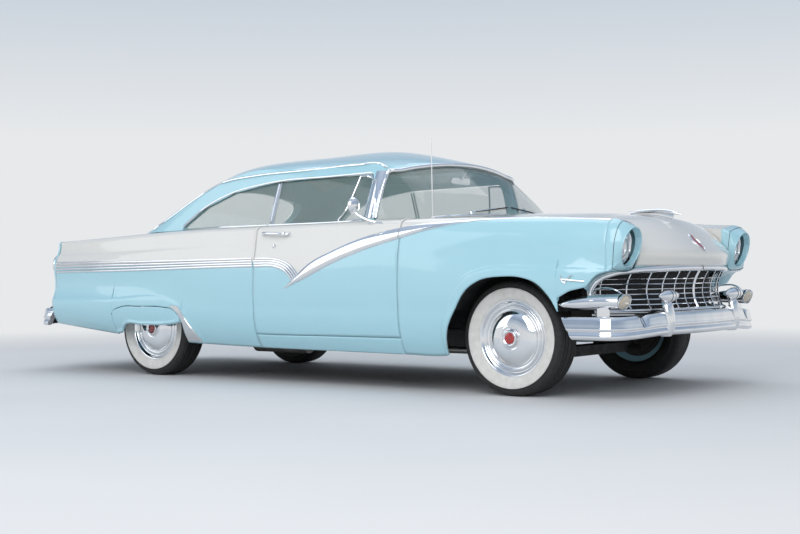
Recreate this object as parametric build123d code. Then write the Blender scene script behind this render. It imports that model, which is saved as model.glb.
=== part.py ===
"""A 1950s two-door hardtop car, as an assembly of separate panels, running gear and fittings.

Millimetres. +X is the front of the car, +Y its left side and +Z up. The origin is on the ground, midway
between the tips of the front and rear bumpers and on the centre plane.
"""

import math
import os

from build123d import *

# Driving dimensions: the running gear
front_overhang = 819.0
wheelbase = 2934.0
rear_overhang = 1289.0
front_track = 1473.0
rear_track = 1422.0
tyre_radius = 325.0
tyre_width = 205.0
rim_radius = 211.0
rim_width = 150.0
hub_bore_radius = 18.0
hub_clearance = 0.5
kingpin_radius = 19.0
kingpin_inset = 86.5
rail_y = 425.0
rail_width = 60.0

# Driving dimensions: clearances and walls
panel_gap = 8.0
running_gap = 5.0
seat_gap = 0.3
skin = 20.0
sheet = 10.0
roof_wall = 38.0
glass_thickness = 6.0
glass_inset = 12.0

# Driving dimensions: where panels meet
door_setback = 705.0
door_length = 1146.0
door_inner_y = 800.0
pillar_setback = 326.0
pillar_width = 62.0
hood_setback = 421.0
hood_half_width = 600.0
deck_setback = 347.0
deck_half_width = 650.0
nose_setback = 195.0
tail_setback = 362.0
floor_z = 345.0
boot_floor_z = 475.0

# Driving dimensions: lamps, grille and bumpers
lamp_y = 735.0
lamp_z = 828.0
lamp_radius = 84.0
lamp_room_radius = 98.0
lamp_recess = 22.0
grille_setback = 42.0
grille_half_width = 760.0
grille_sweep = 291.0
grille_foot_z = 486.0
grille_top_z = 672.0
bumper_foot_z = 345.0
bumper_top_z = 470.0
bumper_depth = 46.0
bumper_corner_radius = 150.0
front_corner_depth = 240.0
rear_corner_depth = 270.0
front_bumper_half_width = 938.0
front_bumper_wrap = 440.0
rear_bumper_half_width = 905.0
rear_bumper_wrap = 325.0
guard_y = 441.0
guard_setback = 14.0
pod_z = 546.0
pod_room_top_z = 612.0
tail_lamp_z = 770.0
tail_lamp_radius = 84.0

overall_length = front_overhang + wheelbase + rear_overhang
bumper_tip_x = overall_length / 2
front_axle_x = bumper_tip_x - front_overhang
rear_axle_x = front_axle_x - wheelbase
axle_z = tyre_radius
kingpin_y = front_track / 2 - kingpin_inset
door_front_x = front_axle_x - door_setback
door_rear_x = door_front_x - door_length
pillar_x = door_front_x - pillar_setback
hood_rear_x = front_axle_x - hood_setback
deck_front_x = rear_axle_x - deck_setback
fender_front_x = bumper_tip_x - nose_setback
tail_x = tail_setback - bumper_tip_x
frame_front_x = fender_front_x - 45
frame_rear_x = tail_x + 2
firewall_x = door_front_x + 34
floor_half = door_inner_y - 10
rail_outer_y = rail_y + rail_width / 2
rail_depth = floor_z - 245.0 - seat_gap
crown_depth = 700.0
cut_reach = 1200.0

# The body side from tail to nose. Each row is x, then the half width and height of these lines:
# sill, low, crease, tuck, rib foot, rib head, shoulder, crown, belt and inner edge.
SIDE = [
    (tail_x, (870, 345), (905, 400), (925, 520), (897, 640), (905, 708), (903, 795), (875, 845),
     (860, 925), (838, 940), (deck_half_width + panel_gap, 925)),
    (rear_axle_x - 437, (880, 298), (935, 380), (952, 525), (927, 640), (930, 712), (928, 793), (905, 850),
     (893, 938), (868, 957), (deck_half_width + panel_gap, 950)),
    (rear_axle_x, (885, 262), (945, 370), (958, 532), (941, 640), (942, 722), (938, 794), (918, 860),
     (905, 955), (876, 975), (720, 985)),
    (rear_axle_x + 563, (880, 236), (935, 340), (955, 500), (953, 630), (948, 730), (942, 796), (928, 868),
     (912, 972), (880, 992), (788, 1000)),
    (door_rear_x, (875, 225), (925, 315), (952, 480), (956, 620), (950, 737), (944, 798), (931, 872),
     (914, 978), (884, 998), (806, 1003)),
    (door_front_x - 566, (875, 220), (925, 315), (950, 480), (956, 620), (951, 737), (945, 798), (932, 880),
     (912, 985), (882, 1003), (815, 1006)),
    (door_front_x, (875, 216), (922, 315), (946, 480), (953, 620), (950, 737), (945, 798), (930, 890),
     (905, 990), (868, 1011), (812, 1016)),
    (hood_rear_x, (878, 216), (925, 313), (950, 480), (958, 620), (952, 740), (944, 800), (928, 900),
     (893, 985), (850, 1010), (hood_half_width + panel_gap, 1006)),
    (front_axle_x, (880, 300), (930, 400), (950, 560), (957, 700), (949, 745), (942, 800), (925, 900),
     (885, 980), (845, 1003), (hood_half_width + panel_gap, 988)),
    (front_axle_x + 379, (885, 330), (925, 420), (945, 560), (952, 690), (940, 745), (930, 800), (910, 900),
     (868, 970), (825, 992), (hood_half_width + panel_gap, 968)),
    (fender_front_x, (850, 430), (865, 500), (875, 600), (876, 690), (873, 745), (873, 800), (868, 880),
     (835, 950), (790, 980), (hood_half_width + panel_gap, 950)),
]
LINES = ("sill", "low", "crease", "tuck", "rib_foot", "rib_head", "shoulder", "crown", "belt", "inner")

# Lengthwise skins that span the car. Each row is x and z on the centre line, then x, half width and z
# at the edge.
HOOD = [
    (hood_rear_x, 1056, hood_rear_x, hood_half_width, 1006),
    (front_axle_x - 51, 1050, front_axle_x - 51, hood_half_width, 990),
    (bumper_tip_x - 490, 1032, bumper_tip_x - 500, hood_half_width, 970),
    (bumper_tip_x - 230, 985, bumper_tip_x - 290, hood_half_width, 942),
    (bumper_tip_x - 105, 880, bumper_tip_x - 200, hood_half_width, 870),
    (bumper_tip_x - 29, 786, bumper_tip_x - 140, hood_half_width, 790),
    (bumper_tip_x - 46, 724, bumper_tip_x - 160, hood_half_width, 724),
]
HOOD_FOLD = 3
DECK = [
    (deck_front_x, 985, deck_front_x, deck_half_width, 950),
    (tail_x + 290, 968, tail_x + 290, deck_half_width, 940),
    (tail_x + 70, 935, tail_x + 80, deck_half_width, 915),
    (tail_x - 38, 860, tail_x - 15, deck_half_width, 850),
    (tail_x - 72, 700, tail_x - 45, deck_half_width, 700),
]
DECK_FOLD = 2
crown_half = 900.0
CROWN = [
    (door_front_x - 36, 1345, door_front_x - 116, crown_half, 1229),
    (door_front_x - 406, 1478, door_front_x - 406, crown_half, 1293),
    (door_rear_x + 130, 1518, door_rear_x + 130, crown_half, 1247),
    (rear_axle_x + 613, 1492, rear_axle_x + 613, crown_half, 1195),
    (rear_axle_x + 253, 1392, rear_axle_x + 303, crown_half, 1033),
    (rear_axle_x - 177, 1150, rear_axle_x - 67, crown_half, 915),
    (rear_axle_x - 477, 985, rear_axle_x - 337, crown_half, 760),
]
# The upright walls of the cabin's upper part. Each row is z, then ahead of the door's front edge the middle
# of the windscreen, its corner (x, y) and the pillar (x, y), then ahead of the rear axle the rear corner
# (x, y), the rear window's edge (x, y) and its middle.
WALLS = [
    (930, 379, 224, 615, -268, 860, 63, 830, -387, 540, -467),
    (1003, 294, 154, 600, -272, 838, 143, 805, -267, 515, -327),
    (1200, 66, -36, 570, -286, 768, 413, 745, 73, 500, 13),
    (1360, -120, -214, 530, -298, 698, 703, 688, 343, 460, 278),
    (1560, -351, -436, 470, -326, 600, 1013, 590, 663, 400, 613),
]


def side_points(x):
    """The points of the body side's lines at x, by name, smoothly between the rows of SIDE."""
    xs = [row[0] for row in SIDE]
    i = max(0, min(len(xs) - 2, sum(1 for v in xs if v <= x) - 1))
    step = xs[i + 1] - xs[i]
    t = (x - xs[i]) / step

    def slope(k, column, axis):
        a = max(0, k - 1)
        b = min(len(xs) - 1, k + 1)
        return (SIDE[b][column][axis] - SIDE[a][column][axis]) / (xs[b] - xs[a]) * step

    found = {}
    for column, name in enumerate(LINES, start=1):
        found[name] = tuple(
            (2 * t**3 - 3 * t**2 + 1) * SIDE[i][column][axis]
            + (t**3 - 2 * t**2 + t) * slope(i, column, axis)
            + (3 * t**2 - 2 * t**3) * SIDE[i + 1][column][axis]
            + (t**3 - t**2) * slope(i + 1, column, axis)
            for axis in (0, 1)
        )
    return found


def at_x(x, *points):
    return [Vector(x, y, z) for y, z in points]


def arc(a, b, c):
    return Edge.make_three_point_arc(Vector(*a), Vector(*b), Vector(*c))


def chain(points):
    return [Edge.make_line(a, b) for a, b in zip(points, points[1:])]


def outer_edges(x, p, lowest):
    """The outer face of the body side at x, from its lowest line up and over to its inner edge."""
    v = {name: Vector(x, *p[name]) for name in LINES}
    if lowest == "sill":
        foot = [arc(v["sill"], v["low"], v["crease"])]
    else:
        foot = chain([v["low"], v["crease"]])
    return [
        *foot,
        arc(v["crease"], v["tuck"], v["rib_foot"]),
        *chain([v["rib_foot"], v["rib_head"]]),
        arc(v["rib_head"], v["shoulder"], v["crown"]),
        *chain([v["crown"], v["belt"], v["inner"]]),
    ]


def panel_section(x):
    """A skin section: the outer face and, one skin thickness in, a plainer inner face."""
    p = side_points(x)
    back = at_x(
        x,
        p["inner"],
        (p["inner"][0], p["inner"][1] - skin),
        (p["crown"][0] - 1.6 * skin, p["crown"][1] - skin),
        (p["rib_head"][0] - skin, p["rib_head"][1]),
        (p["tuck"][0] - skin, p["tuck"][1]),
        (p["crease"][0] - skin, p["crease"][1]),
        (p["sill"][0] - skin, p["sill"][1]),
        p["sill"],
    )
    return Wire(outer_edges(x, p, "sill") + chain(back))


def door_section(x):
    """A door's section: the outer face and a flat inner face, as thick as the whole door."""
    p = side_points(x)
    back = at_x(x, p["inner"], (door_inner_y, p["inner"][1]), (door_inner_y, p["low"][1]), p["low"])
    return Wire(outer_edges(x, p, "low") + chain(back))


def rocker_section(x):
    """A rocker's section, from the sill up to just under the door and in to the floor's edge."""
    p = side_points(x)
    top = p["low"][1] - panel_gap
    inner_y = floor_half + seat_gap
    outer = arc((x, *p["sill"]), (x, p["sill"][0] + 28, p["sill"][1] + 40), (x, p["low"][0] - 3, top))
    inner = at_x(x, (p["low"][0] - 3, top), (inner_y, top), (inner_y, p["sill"][1]), p["sill"])
    return Wire([outer] + chain(inner))


def room_section(x):
    """What lies inside a skin at x, a seating gap clear of the skin's inner face."""
    p = side_points(x)
    reach = skin + seat_gap
    corners = at_x(
        x,
        (300, p["crown"][1] - reach),
        (p["crown"][0] - 1.6 * skin - seat_gap, p["crown"][1] - reach),
        (p["rib_head"][0] - reach, p["rib_head"][1]),
        (p["tuck"][0] - reach, p["tuck"][1]),
        (p["crease"][0] - reach, p["crease"][1]),
        (p["sill"][0] - reach, p["sill"][1]),
        (300, p["sill"][1]),
        (300, p["crown"][1] - reach),
    )
    return Wire(chain(corners))


def side_loft(section, stations):
    return Solid.make_loft([section(x) for x in stations], False)


def fan_section(row, drop, thickness):
    """An arched section across the car, sunk by drop from its row's arch, or solid far below it."""
    cx, cz, ex, ey, ez = row
    away = Vector(ex - cx, 0, ez - cz).normalized()
    sunk = away * drop
    deep = away * (drop + thickness)
    edge = Vector(ex, ey, ez)
    middle = Vector(cx, 0, cz)
    far = Vector(ex, -ey, ez)
    top = Edge.make_three_point_arc(edge + sunk, middle + sunk, far + sunk)
    bottom = Edge.make_three_point_arc(far + deep, middle + deep, edge + deep)
    return Wire([top, *chain([far + sunk, far + deep]), bottom, *chain([edge + deep, edge + sunk])])


def fan_loft(rows, thickness, drop=0.0):
    return Solid.make_loft([fan_section(row, drop, thickness) for row in rows], False)


def folded_panel(rows, fold):
    """A long skin that turns down at one end, as two lofts that meet at row number fold."""
    return fan_loft(rows[: fold + 1], skin) + fan_loft(rows[fold:], skin)


def rest_stop(rows, x0, x1, z0, z1):
    """Two stops that reach under a lid's hinged edge, a seating gap below its skin."""
    lid_room = fan_loft(rows, lid_stop_room + skin + seat_gap, -lid_stop_room)
    stop = box(x0, x1, lid_stop_y, lid_stop_y + 30, z0, z1)
    return [side - lid_room for side in both_sides(stop)]


def crown_solid(drop):
    """All that lies under the roof's crown, lowered by drop."""
    rows = [(cx, cz - drop, ex, ey, ez - drop) for cx, cz, ex, ey, ez in CROWN]
    return fan_loft(rows, crown_depth)


def wall_loop(row, inset):
    """A closed plan outline of the cabin's walls at one height, moved inwards by inset."""
    z, screen, cx, cy, px, py, rx, ry, ex, ey, rear = row
    screen, cx, px = (door_front_x + ahead for ahead in (screen, cx, px))
    rx, ex, rear = (rear_axle_x + ahead for ahead in (rx, ex, rear))
    slant = 0.7 * inset
    screen_mid = Vector(screen - inset, 0, z)
    corner = Vector(cx - slant, cy - slant, z)
    pillar = Vector(px, py - inset, z)
    rear_corner = Vector(rx, ry - inset, z)
    edge = Vector(ex + slant, ey - slant, z)
    rear_mid = Vector(rear + inset, 0, z)
    front_turn = (corner + pillar) * 0.5 + Vector(0.23 * (cx - px), 0.14 * (cx - px), 0)
    rear_turn = (rear_corner + edge) * 0.5 + Vector(0.17 * (ex - rx), 0.17 * (ry - ey), 0)

    def across(v):
        return Vector(v.X, -v.Y, v.Z)

    return Wire([
        Edge.make_three_point_arc(across(corner), screen_mid, corner),
        Edge.make_three_point_arc(corner, front_turn, pillar),
        Edge.make_line(pillar, rear_corner),
        Edge.make_three_point_arc(rear_corner, rear_turn, edge),
        Edge.make_three_point_arc(edge, rear_mid, across(edge)),
        Edge.make_three_point_arc(across(edge), across(rear_turn), across(rear_corner)),
        Edge.make_line(across(rear_corner), across(pillar)),
        Edge.make_three_point_arc(across(pillar), across(front_turn), across(corner)),
    ])


def both_sides(shape):
    return [shape, mirror(shape, Plane.XZ)]


def box(x0, x1, y0, y1, z0, z1):
    """A box between two corners."""
    return Pos((x0 + x1) / 2, (y0 + y1) / 2, (z0 + z1) / 2) * Box(x1 - x0, y1 - y0, z1 - z0)


def side_prism(outline, y0, y1):
    """A prism along Y whose outline, a closed list of edges or points, is given as x and z."""
    edges = []
    for piece in outline:
        points = [Vector(x, y0, z) for x, z in piece]
        edges.append(Edge.make_line(*points) if len(points) == 2 else Edge.make_three_point_arc(*points))
    return Solid.extrude(Face(Wire(edges)), Vector(0, y1 - y0, 0))


def polygon(points):
    """The straight edges of a closed outline, each as its two ends."""
    return list(zip(points, points[1:] + points[:1]))


def slab(outline, y0, y1):
    return side_prism(polygon(outline), y0, y1)


def rod(start, end, radius):
    """A round bar from one point to another."""
    a = Vector(*start)
    b = Vector(*end)
    return Solid.make_cylinder(radius, (b - a).length, Plane(a, z_dir=b - a))


def tube_y(radius, bore, y0, y1, x, z):
    """A ring about an axis along Y."""
    outer = rod((x, y0, z), (x, y1, z), radius)
    return outer - rod((x, y0 - 1, z), (x, y1 + 1, z), bore)


# Wheel arches, as arcs and lines in x and z, drawn in from their edge by a margin.
def front_arch(margin=0.0):
    x = front_axle_x
    m = margin
    foot = 100
    return [
        ((x - 388 + m, foot), (x - 386 + m, 240)),
        ((x - 386 + m, 240), (x - 293 + m, 491 - m), (x - 108, 660 - m)),
        ((x - 108, 660 - m), (x + 90, 672 - m), (x + 255, 630 - m)),
        ((x + 255, 630 - m), (x + 345 - m, 530 - m), (x + 385 - m, 400)),
        ((x + 385 - m, 400), (x + 390 - m, foot)),
        ((x + 390 - m, foot), (x - 388 + m, foot)),
    ]


def rear_arch(margin=0.0):
    x = rear_axle_x
    m = margin
    foot = 100
    return [
        ((x - 262 + m, foot), (x - 275 + m, 360)),
        ((x - 275 + m, 360), (x - 240 + m, 444 - m), (x - 150, 478 - m)),
        ((x - 150, 478 - m), (x + 280, 478 - m)),
        ((x + 280, 478 - m), (x + 385 - m, 440 - m), (x + 436 - m, 370)),
        ((x + 436 - m, 370), (x + 455 - m, foot)),
        ((x + 455 - m, foot), (x - 262 + m, foot)),
    ]


def skirt_foot():
    """What lies under the skirt's curved lower edge."""
    x = rear_axle_x
    return [
        ((x - 300, 280), (x - 200, 285)),
        ((x - 200, 285), (x - 150, 336), (x - 40, 350)),
        ((x - 40, 350), (x + 500, 360)),
        ((x + 500, 360), (x + 500, 50)),
        ((x + 500, 50), (x - 300, 50)),
        ((x - 300, 50), (x - 300, 280)),
    ]


lid_stop_room = 60.0
lid_stop_y = 430.0


def front_notch():
    """The room under the fender's front corner for the bumper and the lamp pod."""
    low = bumper_top_z + panel_gap
    back = bumper_tip_x - front_bumper_wrap - 25
    front = bumper_tip_x
    outline = [
        (back, 200), (back, low + 84), (back + 78, 592), (back + 168, pod_room_top_z), (front, pod_room_top_z),
        (front, 200),
    ]
    return slab(outline, 500, 1100)


door_stations = (door_rear_x, door_front_x - 566, door_front_x)
fender_stations = (
    door_front_x + panel_gap, hood_rear_x, front_axle_x, front_axle_x + 379, fender_front_x,
)
quarter_stations = (
    tail_x, rear_axle_x - 437, rear_axle_x, rear_axle_x + 563, door_rear_x - panel_gap,
)


def make_sides():
    """Door skins, front fenders, rear quarters, their skirts and the rockers, on the left side."""
    door = side_loft(door_section, door_stations)
    pillar_room = box(pillar_x - running_gap, door_front_x + 1, 700, door_inner_y + 46, 900, 1100)
    door = door - pillar_room
    fender = side_loft(panel_section, fender_stations)
    fender = fender - side_prism(front_arch(), 500, 1100) - front_notch()
    fender = fender - box(hood_rear_x - panel_gap, bumper_tip_x, 500, hood_half_width + panel_gap, 700, 1100)
    quarter = side_loft(panel_section, quarter_stations)
    quarter = quarter - box(tail_x - 1, deck_front_x + panel_gap, 500, deck_half_width + panel_gap, 700, 1100)
    skirt = quarter & side_prism(rear_arch(seat_gap), 900, 1100)
    skirt = skirt - side_prism(skirt_foot(), 500, 1100)
    quarter = quarter - side_prism(rear_arch(), 500, 1100)
    rocker = side_loft(rocker_section, (door_rear_x - panel_gap, *door_stations[1:]))
    return door, fender, quarter, skirt, rocker


def walls(inset):
    return Solid.make_loft([wall_loop(row, inset) for row in WALLS], False)


# Window openings. The side one is in x and z, from the belt up; the others are in y and z.
door_window_rear = door_rear_x + 30
SIDE_WINDOW = [
    (pillar_x, 900), (pillar_x, 1250), (pillar_x - 20, 1302), (door_window_rear + 11, 1290),
    (rear_axle_x + 945, 1268), (rear_axle_x + 714, 1230), (rear_axle_x + 475, 1140), (rear_axle_x + 303, 1020),
    (rear_axle_x + 278, 900),
]


def end_prism(outline, x0, x1):
    """A prism along X whose outline is given as y and z, as lines and arcs."""
    edges = []
    for piece in outline:
        points = [Vector(x0, y, z) for y, z in piece]
        edges.append(Edge.make_line(*points) if len(points) == 2 else Edge.make_three_point_arc(*points))
    return Solid.extrude(Face(Wire(edges)), Vector(x1 - x0, 0, 0))


def screen_outline():
    return [
        ((-900, 990), (900, 990)),
        ((900, 990), (900, 1306)),
        ((900, 1306), (640, 1316)),
        ((640, 1316), (0, 1378), (-640, 1316)),
        ((-640, 1316), (-900, 1306)),
        ((-900, 1306), (-900, 990)),
    ]


def backlight_outline():
    return [
        ((-600, 1030), (600, 1030)),
        ((600, 1030), (590, 1120), (500, 1225)),
        ((500, 1225), (0, 1285), (-500, 1225)),
        ((-500, 1225), (-590, 1120), (-600, 1030)),
    ]


def belt_height(x):
    return side_points(x)["inner"][1] + seat_gap


def under_belt():
    """All that lies below the belt line, as the cabin's walls must not."""
    xs = (rear_axle_x, rear_axle_x + 563, door_rear_x, door_front_x - 566, door_front_x)
    front = door_front_x + 334
    level = belt_height(door_front_x)
    line = [(deck_front_x - 290, 700), (deck_front_x - 290, 950), (deck_front_x, 968)]
    line += [(x, belt_height(x)) for x in xs]
    line += [(front, level), (front, 700)]
    return slab(line, -cut_reach, cut_reach)


def make_greenhouse(cowl, quarter, door):
    """The roof with its pillars, and the glass that fills the openings in its walls."""
    body = walls(0) & crown_solid(0)
    hollow = walls(roof_wall) & crown_solid(roof_wall)
    shell = body - hollow
    pane = walls(glass_inset) - walls(glass_inset + glass_thickness)
    side_cut = slab(SIDE_WINDOW, -cut_reach, cut_reach)
    screen_cut = end_prism(screen_outline(), pillar_x + pillar_width, door_front_x + 534)
    backlight_cut = end_prism(backlight_outline(), rear_axle_x - 637, rear_axle_x + 303)
    roof = shell - side_cut - screen_cut - backlight_cut - under_belt()
    roof = roof - box(tail_x, deck_front_x + panel_gap + 2, -cut_reach, cut_reach, 800, 1200)
    for side in both_sides(quarter):
        roof = largest(roof - side)
    screen = largest((pane & screen_cut) - cowl)
    backlight = pane & backlight_cut
    gap = running_gap
    rear = door_window_rear
    sill = belt_height(door_rear_x) - 18
    door_pane = slab(
        [(pillar_x - gap, sill), (pillar_x - gap, 1248), (pillar_x - 22 - gap, 1302 - gap), (rear, 1290 - gap),
         (rear - 10, sill)],
        0,
        cut_reach,
    )
    quarter_pane = slab(
        [(rear - gap - 10, sill), (rear - gap, 1287.5), (rear_axle_x + 945, 1267.5), (rear_axle_x + 714, 1229.5),
         (rear_axle_x + 475, 1139.5), (rear_axle_x + 308, 1020), (rear_axle_x + 306, sill)],
        0,
        cut_reach,
    )
    door_room = box(door_rear_x - gap, door_front_x, 0, cut_reach, 900, belt_height(door_rear_x) + gap)
    quarter_pane = quarter_pane - door_room
    return roof, screen, backlight, largest((pane & door_pane) - door), largest((pane & quarter_pane) - quarter)


def largest(shape):
    return max(shape.solids(), key=lambda solid: solid.volume)


post_outer_y = 865.0
post_foot_z = 330.0
post_top_z = 960.0
hinge_heights = (400.0, 780.0)
hinge_height = 70.0


def make_cowl(fender):
    """The panel under the windscreen, with a foot for each windscreen pillar and the door's hinge posts."""
    rows = []
    stations = (door_front_x + panel_gap, door_front_x + 144, hood_rear_x - panel_gap)
    for x, middle in zip(stations, (1030, 1040, 1046)):
        y, z = side_points(x)["inner"]
        rows.append((x, middle, x, y + 6, z - 1))
    top = fan_loft(rows, skin)
    level = belt_height(door_front_x) - 2 * seat_gap
    back = door_front_x + 14
    foot = slab(
        [(pillar_x, level - 80), (pillar_x, level - 7.7), (back, level), (back, level - 80)], 786, door_inner_y + 41
    )
    post = box(door_front_x + panel_gap, firewall_x + 30, floor_half + seat_gap, post_outer_y, post_foot_z, post_top_z)
    leaves = [
        box(door_front_x + seat_gap, back, 815, post_outer_y - 5, z, z + hinge_height) for z in hinge_heights
    ]
    for side in both_sides(foot) + both_sides(post) + both_sides(leaves[0]) + both_sides(leaves[1]):
        top = top + side
    for stop in rest_stop(HOOD[: HOOD_FOLD + 1], hood_rear_x - 50, hood_rear_x + 26, 985, 1012):
        top = top + stop
    for side in both_sides(fender):
        top = largest(top - side)
    return top


def plan_bar(tip, end, depth, z0, z1):
    """A bar bent in plan through its tip on the centre line and its two ends, of even depth."""
    tx, (ex, ey) = tip, end
    outer = Edge.make_three_point_arc(Vector(ex, -ey, z0), Vector(tx, 0, z0), Vector(ex, ey, z0))
    inner = Edge.make_three_point_arc(
        Vector(ex - depth, ey, z0), Vector(tx - depth, 0, z0), Vector(ex - depth, -ey, z0)
    )
    wire = Wire([
        outer,
        Edge.make_line(Vector(ex, ey, z0), Vector(ex - depth, ey, z0)),
        inner,
        Edge.make_line(Vector(ex - depth, -ey, z0), Vector(ex, -ey, z0)),
    ])
    return Solid.extrude(Face(wire), Vector(0, 0, z1 - z0))


grille_tip_x = bumper_tip_x - grille_setback
grille_end = (grille_tip_x - grille_sweep, grille_half_width)
grille_bar = 7.0
upright_pitch = 76.0
upright_count = 19


def make_grille():
    """The open lattice: level bars bent round the nose, crossed by upright ones."""
    recess = 46
    depth = 30
    tip = grille_tip_x - recess
    end = (grille_end[0] - 20, grille_end[1] - 8)
    lattice = plan_bar(tip, end, depth, 575, 592)
    for z in (510, 543, 618, 650):
        lattice = lattice + plan_bar(tip, end, depth, z, z + grille_bar)
    half = grille_bar / 2
    for i in range(upright_count):
        y = (i - upright_count // 2) * upright_pitch
        x = tip - grille_sweep * (y / grille_half_width) ** 2
        lattice = lattice + box(x - depth + 3, x - 4, y - half, y + half, grille_foot_z + 8, grille_top_z)
    return lattice


def make_grille_surround():
    top_z = grille_top_z + 44
    foot_z = grille_foot_z - 36
    back = grille_end[0]
    top = plan_bar(grille_tip_x, grille_end, 60, grille_top_z, top_z)
    foot = plan_bar(grille_tip_x - 40, (back - 20, grille_half_width), 50, foot_z, grille_foot_z + 8)
    frame = top + foot
    front = fender_front_x - seat_gap
    cheek = box(back - 30, front, grille_half_width - 4, grille_half_width + 10, foot_z, top_z)
    shelf = box(back - 10, front, hood_half_width + panel_gap, grille_half_width + 10, top_z - 16, top_z)
    for side in both_sides(cheek) + both_sides(shelf):
        frame = frame + side
    return frame


def revolve_x(outline, y, z):
    """A body of revolution about an axis along X, from an outline of x and radius."""
    points = [Vector(x, y, z + r) for x, r in outline]
    face = Face(Wire(chain(points + points[:1])))
    return Solid.revolve(face, 360, Axis((0, y, z), (1, 0, 0)))


def revolve_y(outline, x, z):
    """A body of revolution about an axis along Y, from an outline of y and radius."""
    points = [Vector(x, y, z + r) for y, r in outline]
    face = Face(Wire(chain(points + points[:1])))
    return Solid.revolve(face, 360, Axis((x, 0, z), (0, 1, 0)))


def ellipse_loft(rows):
    """A body along X through ellipses. Each row is x, the centre's y and z, half width, half height."""
    wires = []
    for x, y, z, half_width, half_height in rows:
        plane = Plane((x, y, z), x_dir=(0, 1, 0), z_dir=(1, 0, 0))
        wires.append(Wire([Edge.make_ellipse(half_width, half_height, plane)]))
    return Solid.make_loft(wires, False)


def ellipse_plug(x, y, z, half_width, half_height, length):
    """An elliptical plug that runs back from x."""
    plane = Plane((x, y, z), x_dir=(0, 1, 0), z_dir=(-1, 0, 0))
    return Solid.extrude(Face(Wire([Edge.make_ellipse(half_width, half_height, plane)])), Vector(-length, 0, 0))


def make_lamp_hood():
    """The fender's front face with its round hood, longest at the top like an eyelid."""
    x = fender_front_x
    p = side_points(x)
    turn = at_x(
        x, p["inner"], (hood_half_width + panel_gap, 717), (grille_half_width + 11, 717),
        (grille_half_width + 11, p["sill"][1]), p["sill"]
    )
    face = Face(Wire(outer_edges(x, p, "sill") + chain(turn)))
    panel = Solid.extrude(face, Vector(12, 0, 0))
    shell = ellipse_loft([
        (x, lamp_y + 6, lamp_z + 12, lamp_room_radius + 32, lamp_room_radius + 40),
        (x + 55, lamp_y + 3, lamp_z + 5, lamp_room_radius + 22, lamp_room_radius + 26),
        (x + 108, lamp_y, lamp_z, lamp_room_radius + 10, lamp_room_radius + 12),
    ])
    room = rod((x + lamp_recess, lamp_y, lamp_z), (x + 200, lamp_y, lamp_z), lamp_room_radius)
    in_front = slab([(x + 105, 945), (x + 41, 700), (x + 200, 690), (x + 200, 1000)], 500, 1000)
    hood_room = box(x - 1, x + 200, 400, hood_half_width + panel_gap, 600, 1100)
    return panel + shell - room - in_front - hood_room - front_notch()


def make_front_lamp():
    x = fender_front_x + lamp_recess
    r = lamp_radius
    return revolve_x([(x, 0), (x, r), (x + 8, r), (x + 17, 0.65 * r), (x + 22, 0)], lamp_y, lamp_z)


def bumper_path(side, wrap, depth):
    """The rear bumper's plan line: straight beside the car, round the corner and gently across its end."""
    turn = bumper_corner_radius
    radius = ((side - turn) ** 2 + depth**2 - turn**2) / (2 * (depth - turn))
    angle = math.asin((side - turn) / (radius - turn))
    bend_x = bumper_tip_x - depth

    def on_corner(a, hand):
        return Vector(-bend_x - turn * math.cos(a), hand * (side - turn + turn * math.sin(a)), 0)

    mid = (math.pi / 2 + angle) / 2
    ends = [Vector(wrap - bumper_tip_x, hand * side, 0) for hand in (1, -1)]
    bends = [Vector(-bend_x, hand * side, 0) for hand in (1, -1)]
    middles = [on_corner(mid, hand) for hand in (1, -1)]
    joins = [on_corner(angle, hand) for hand in (1, -1)]
    return Wire([
        Edge.make_line(ends[0], bends[0]),
        Edge.make_three_point_arc(bends[0], middles[0], joins[0]),
        Edge.make_three_point_arc(joins[0], Vector(-bumper_tip_x, 0, 0), joins[1]),
        Edge.make_three_point_arc(joins[1], middles[1], bends[1]),
        Edge.make_line(bends[1], ends[1]),
    ])


def bumper_section(side, wrap):
    """The bumper's section at its end: a lower lip, a groove and a broad crowned face."""
    x = wrap - bumper_tip_x
    foot = bumper_foot_z
    top = bumper_top_z
    back = -bumper_depth
    outline = [
        ((back, foot + 6), (-22, foot)),
        ((-22, foot), (-8, foot + 20), (-10, foot + 42)),
        ((-10, foot + 42), (-14, foot + 46)),
        ((-14, foot + 46), (-6, foot + 50)),
        ((-6, foot + 50), (0, foot + 86), (-12, top)),
        ((-12, top), (back, top - 6)),
        ((back, top - 6), (back, foot + 6)),
    ]
    edges = []
    for piece in outline:
        points = [Vector(x, side + out, z) for out, z in piece]
        edges.append(Edge.make_line(*points) if len(points) == 2 else Edge.make_three_point_arc(*points))
    return Face(Wire(edges))


# A bumper guard's plan sections: z, how far it stays behind its foremost line, half width.
GUARD = [(338, 8, 40), (420, 0, 42), (500, 10, 38), (532, 22, 28)]
guard_nose = 32.0


def make_guard(y):
    """A guard of the rear bumper."""
    back = 62 - bumper_tip_x
    wires = []
    for z, behind, half in GUARD:
        front = guard_setback + behind - bumper_tip_x
        shoulder = front + (guard_nose / 2 if z == GUARD[-1][0] else guard_nose)
        wires.append(Wire([
            *chain([Vector(shoulder, y - half, z), Vector(back, y - half, z), Vector(back, y + half, z),
                    Vector(shoulder, y + half, z)]),
            arc((shoulder, y + half, z), (front, y, z), (shoulder, y - half, z)),
        ]))
    return Solid.make_loft(wires, True)


# The pointed pod across the top of a front guard: how far along it and its radius there.
WING = [(-120, 0), (-120, 4), (-85, 19), (-45, 31), (-12, 35), (12, 35), (45, 31), (85, 19), (120, 4), (120, 0)]
wing_setback = 46.0
wing_lift = 27.0


def make_guard_wing(y):
    outline = [(y + along, radius) for along, radius in WING]
    return revolve_y(outline, bumper_tip_x - wing_setback, GUARD[-1][0] + wing_lift)


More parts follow.
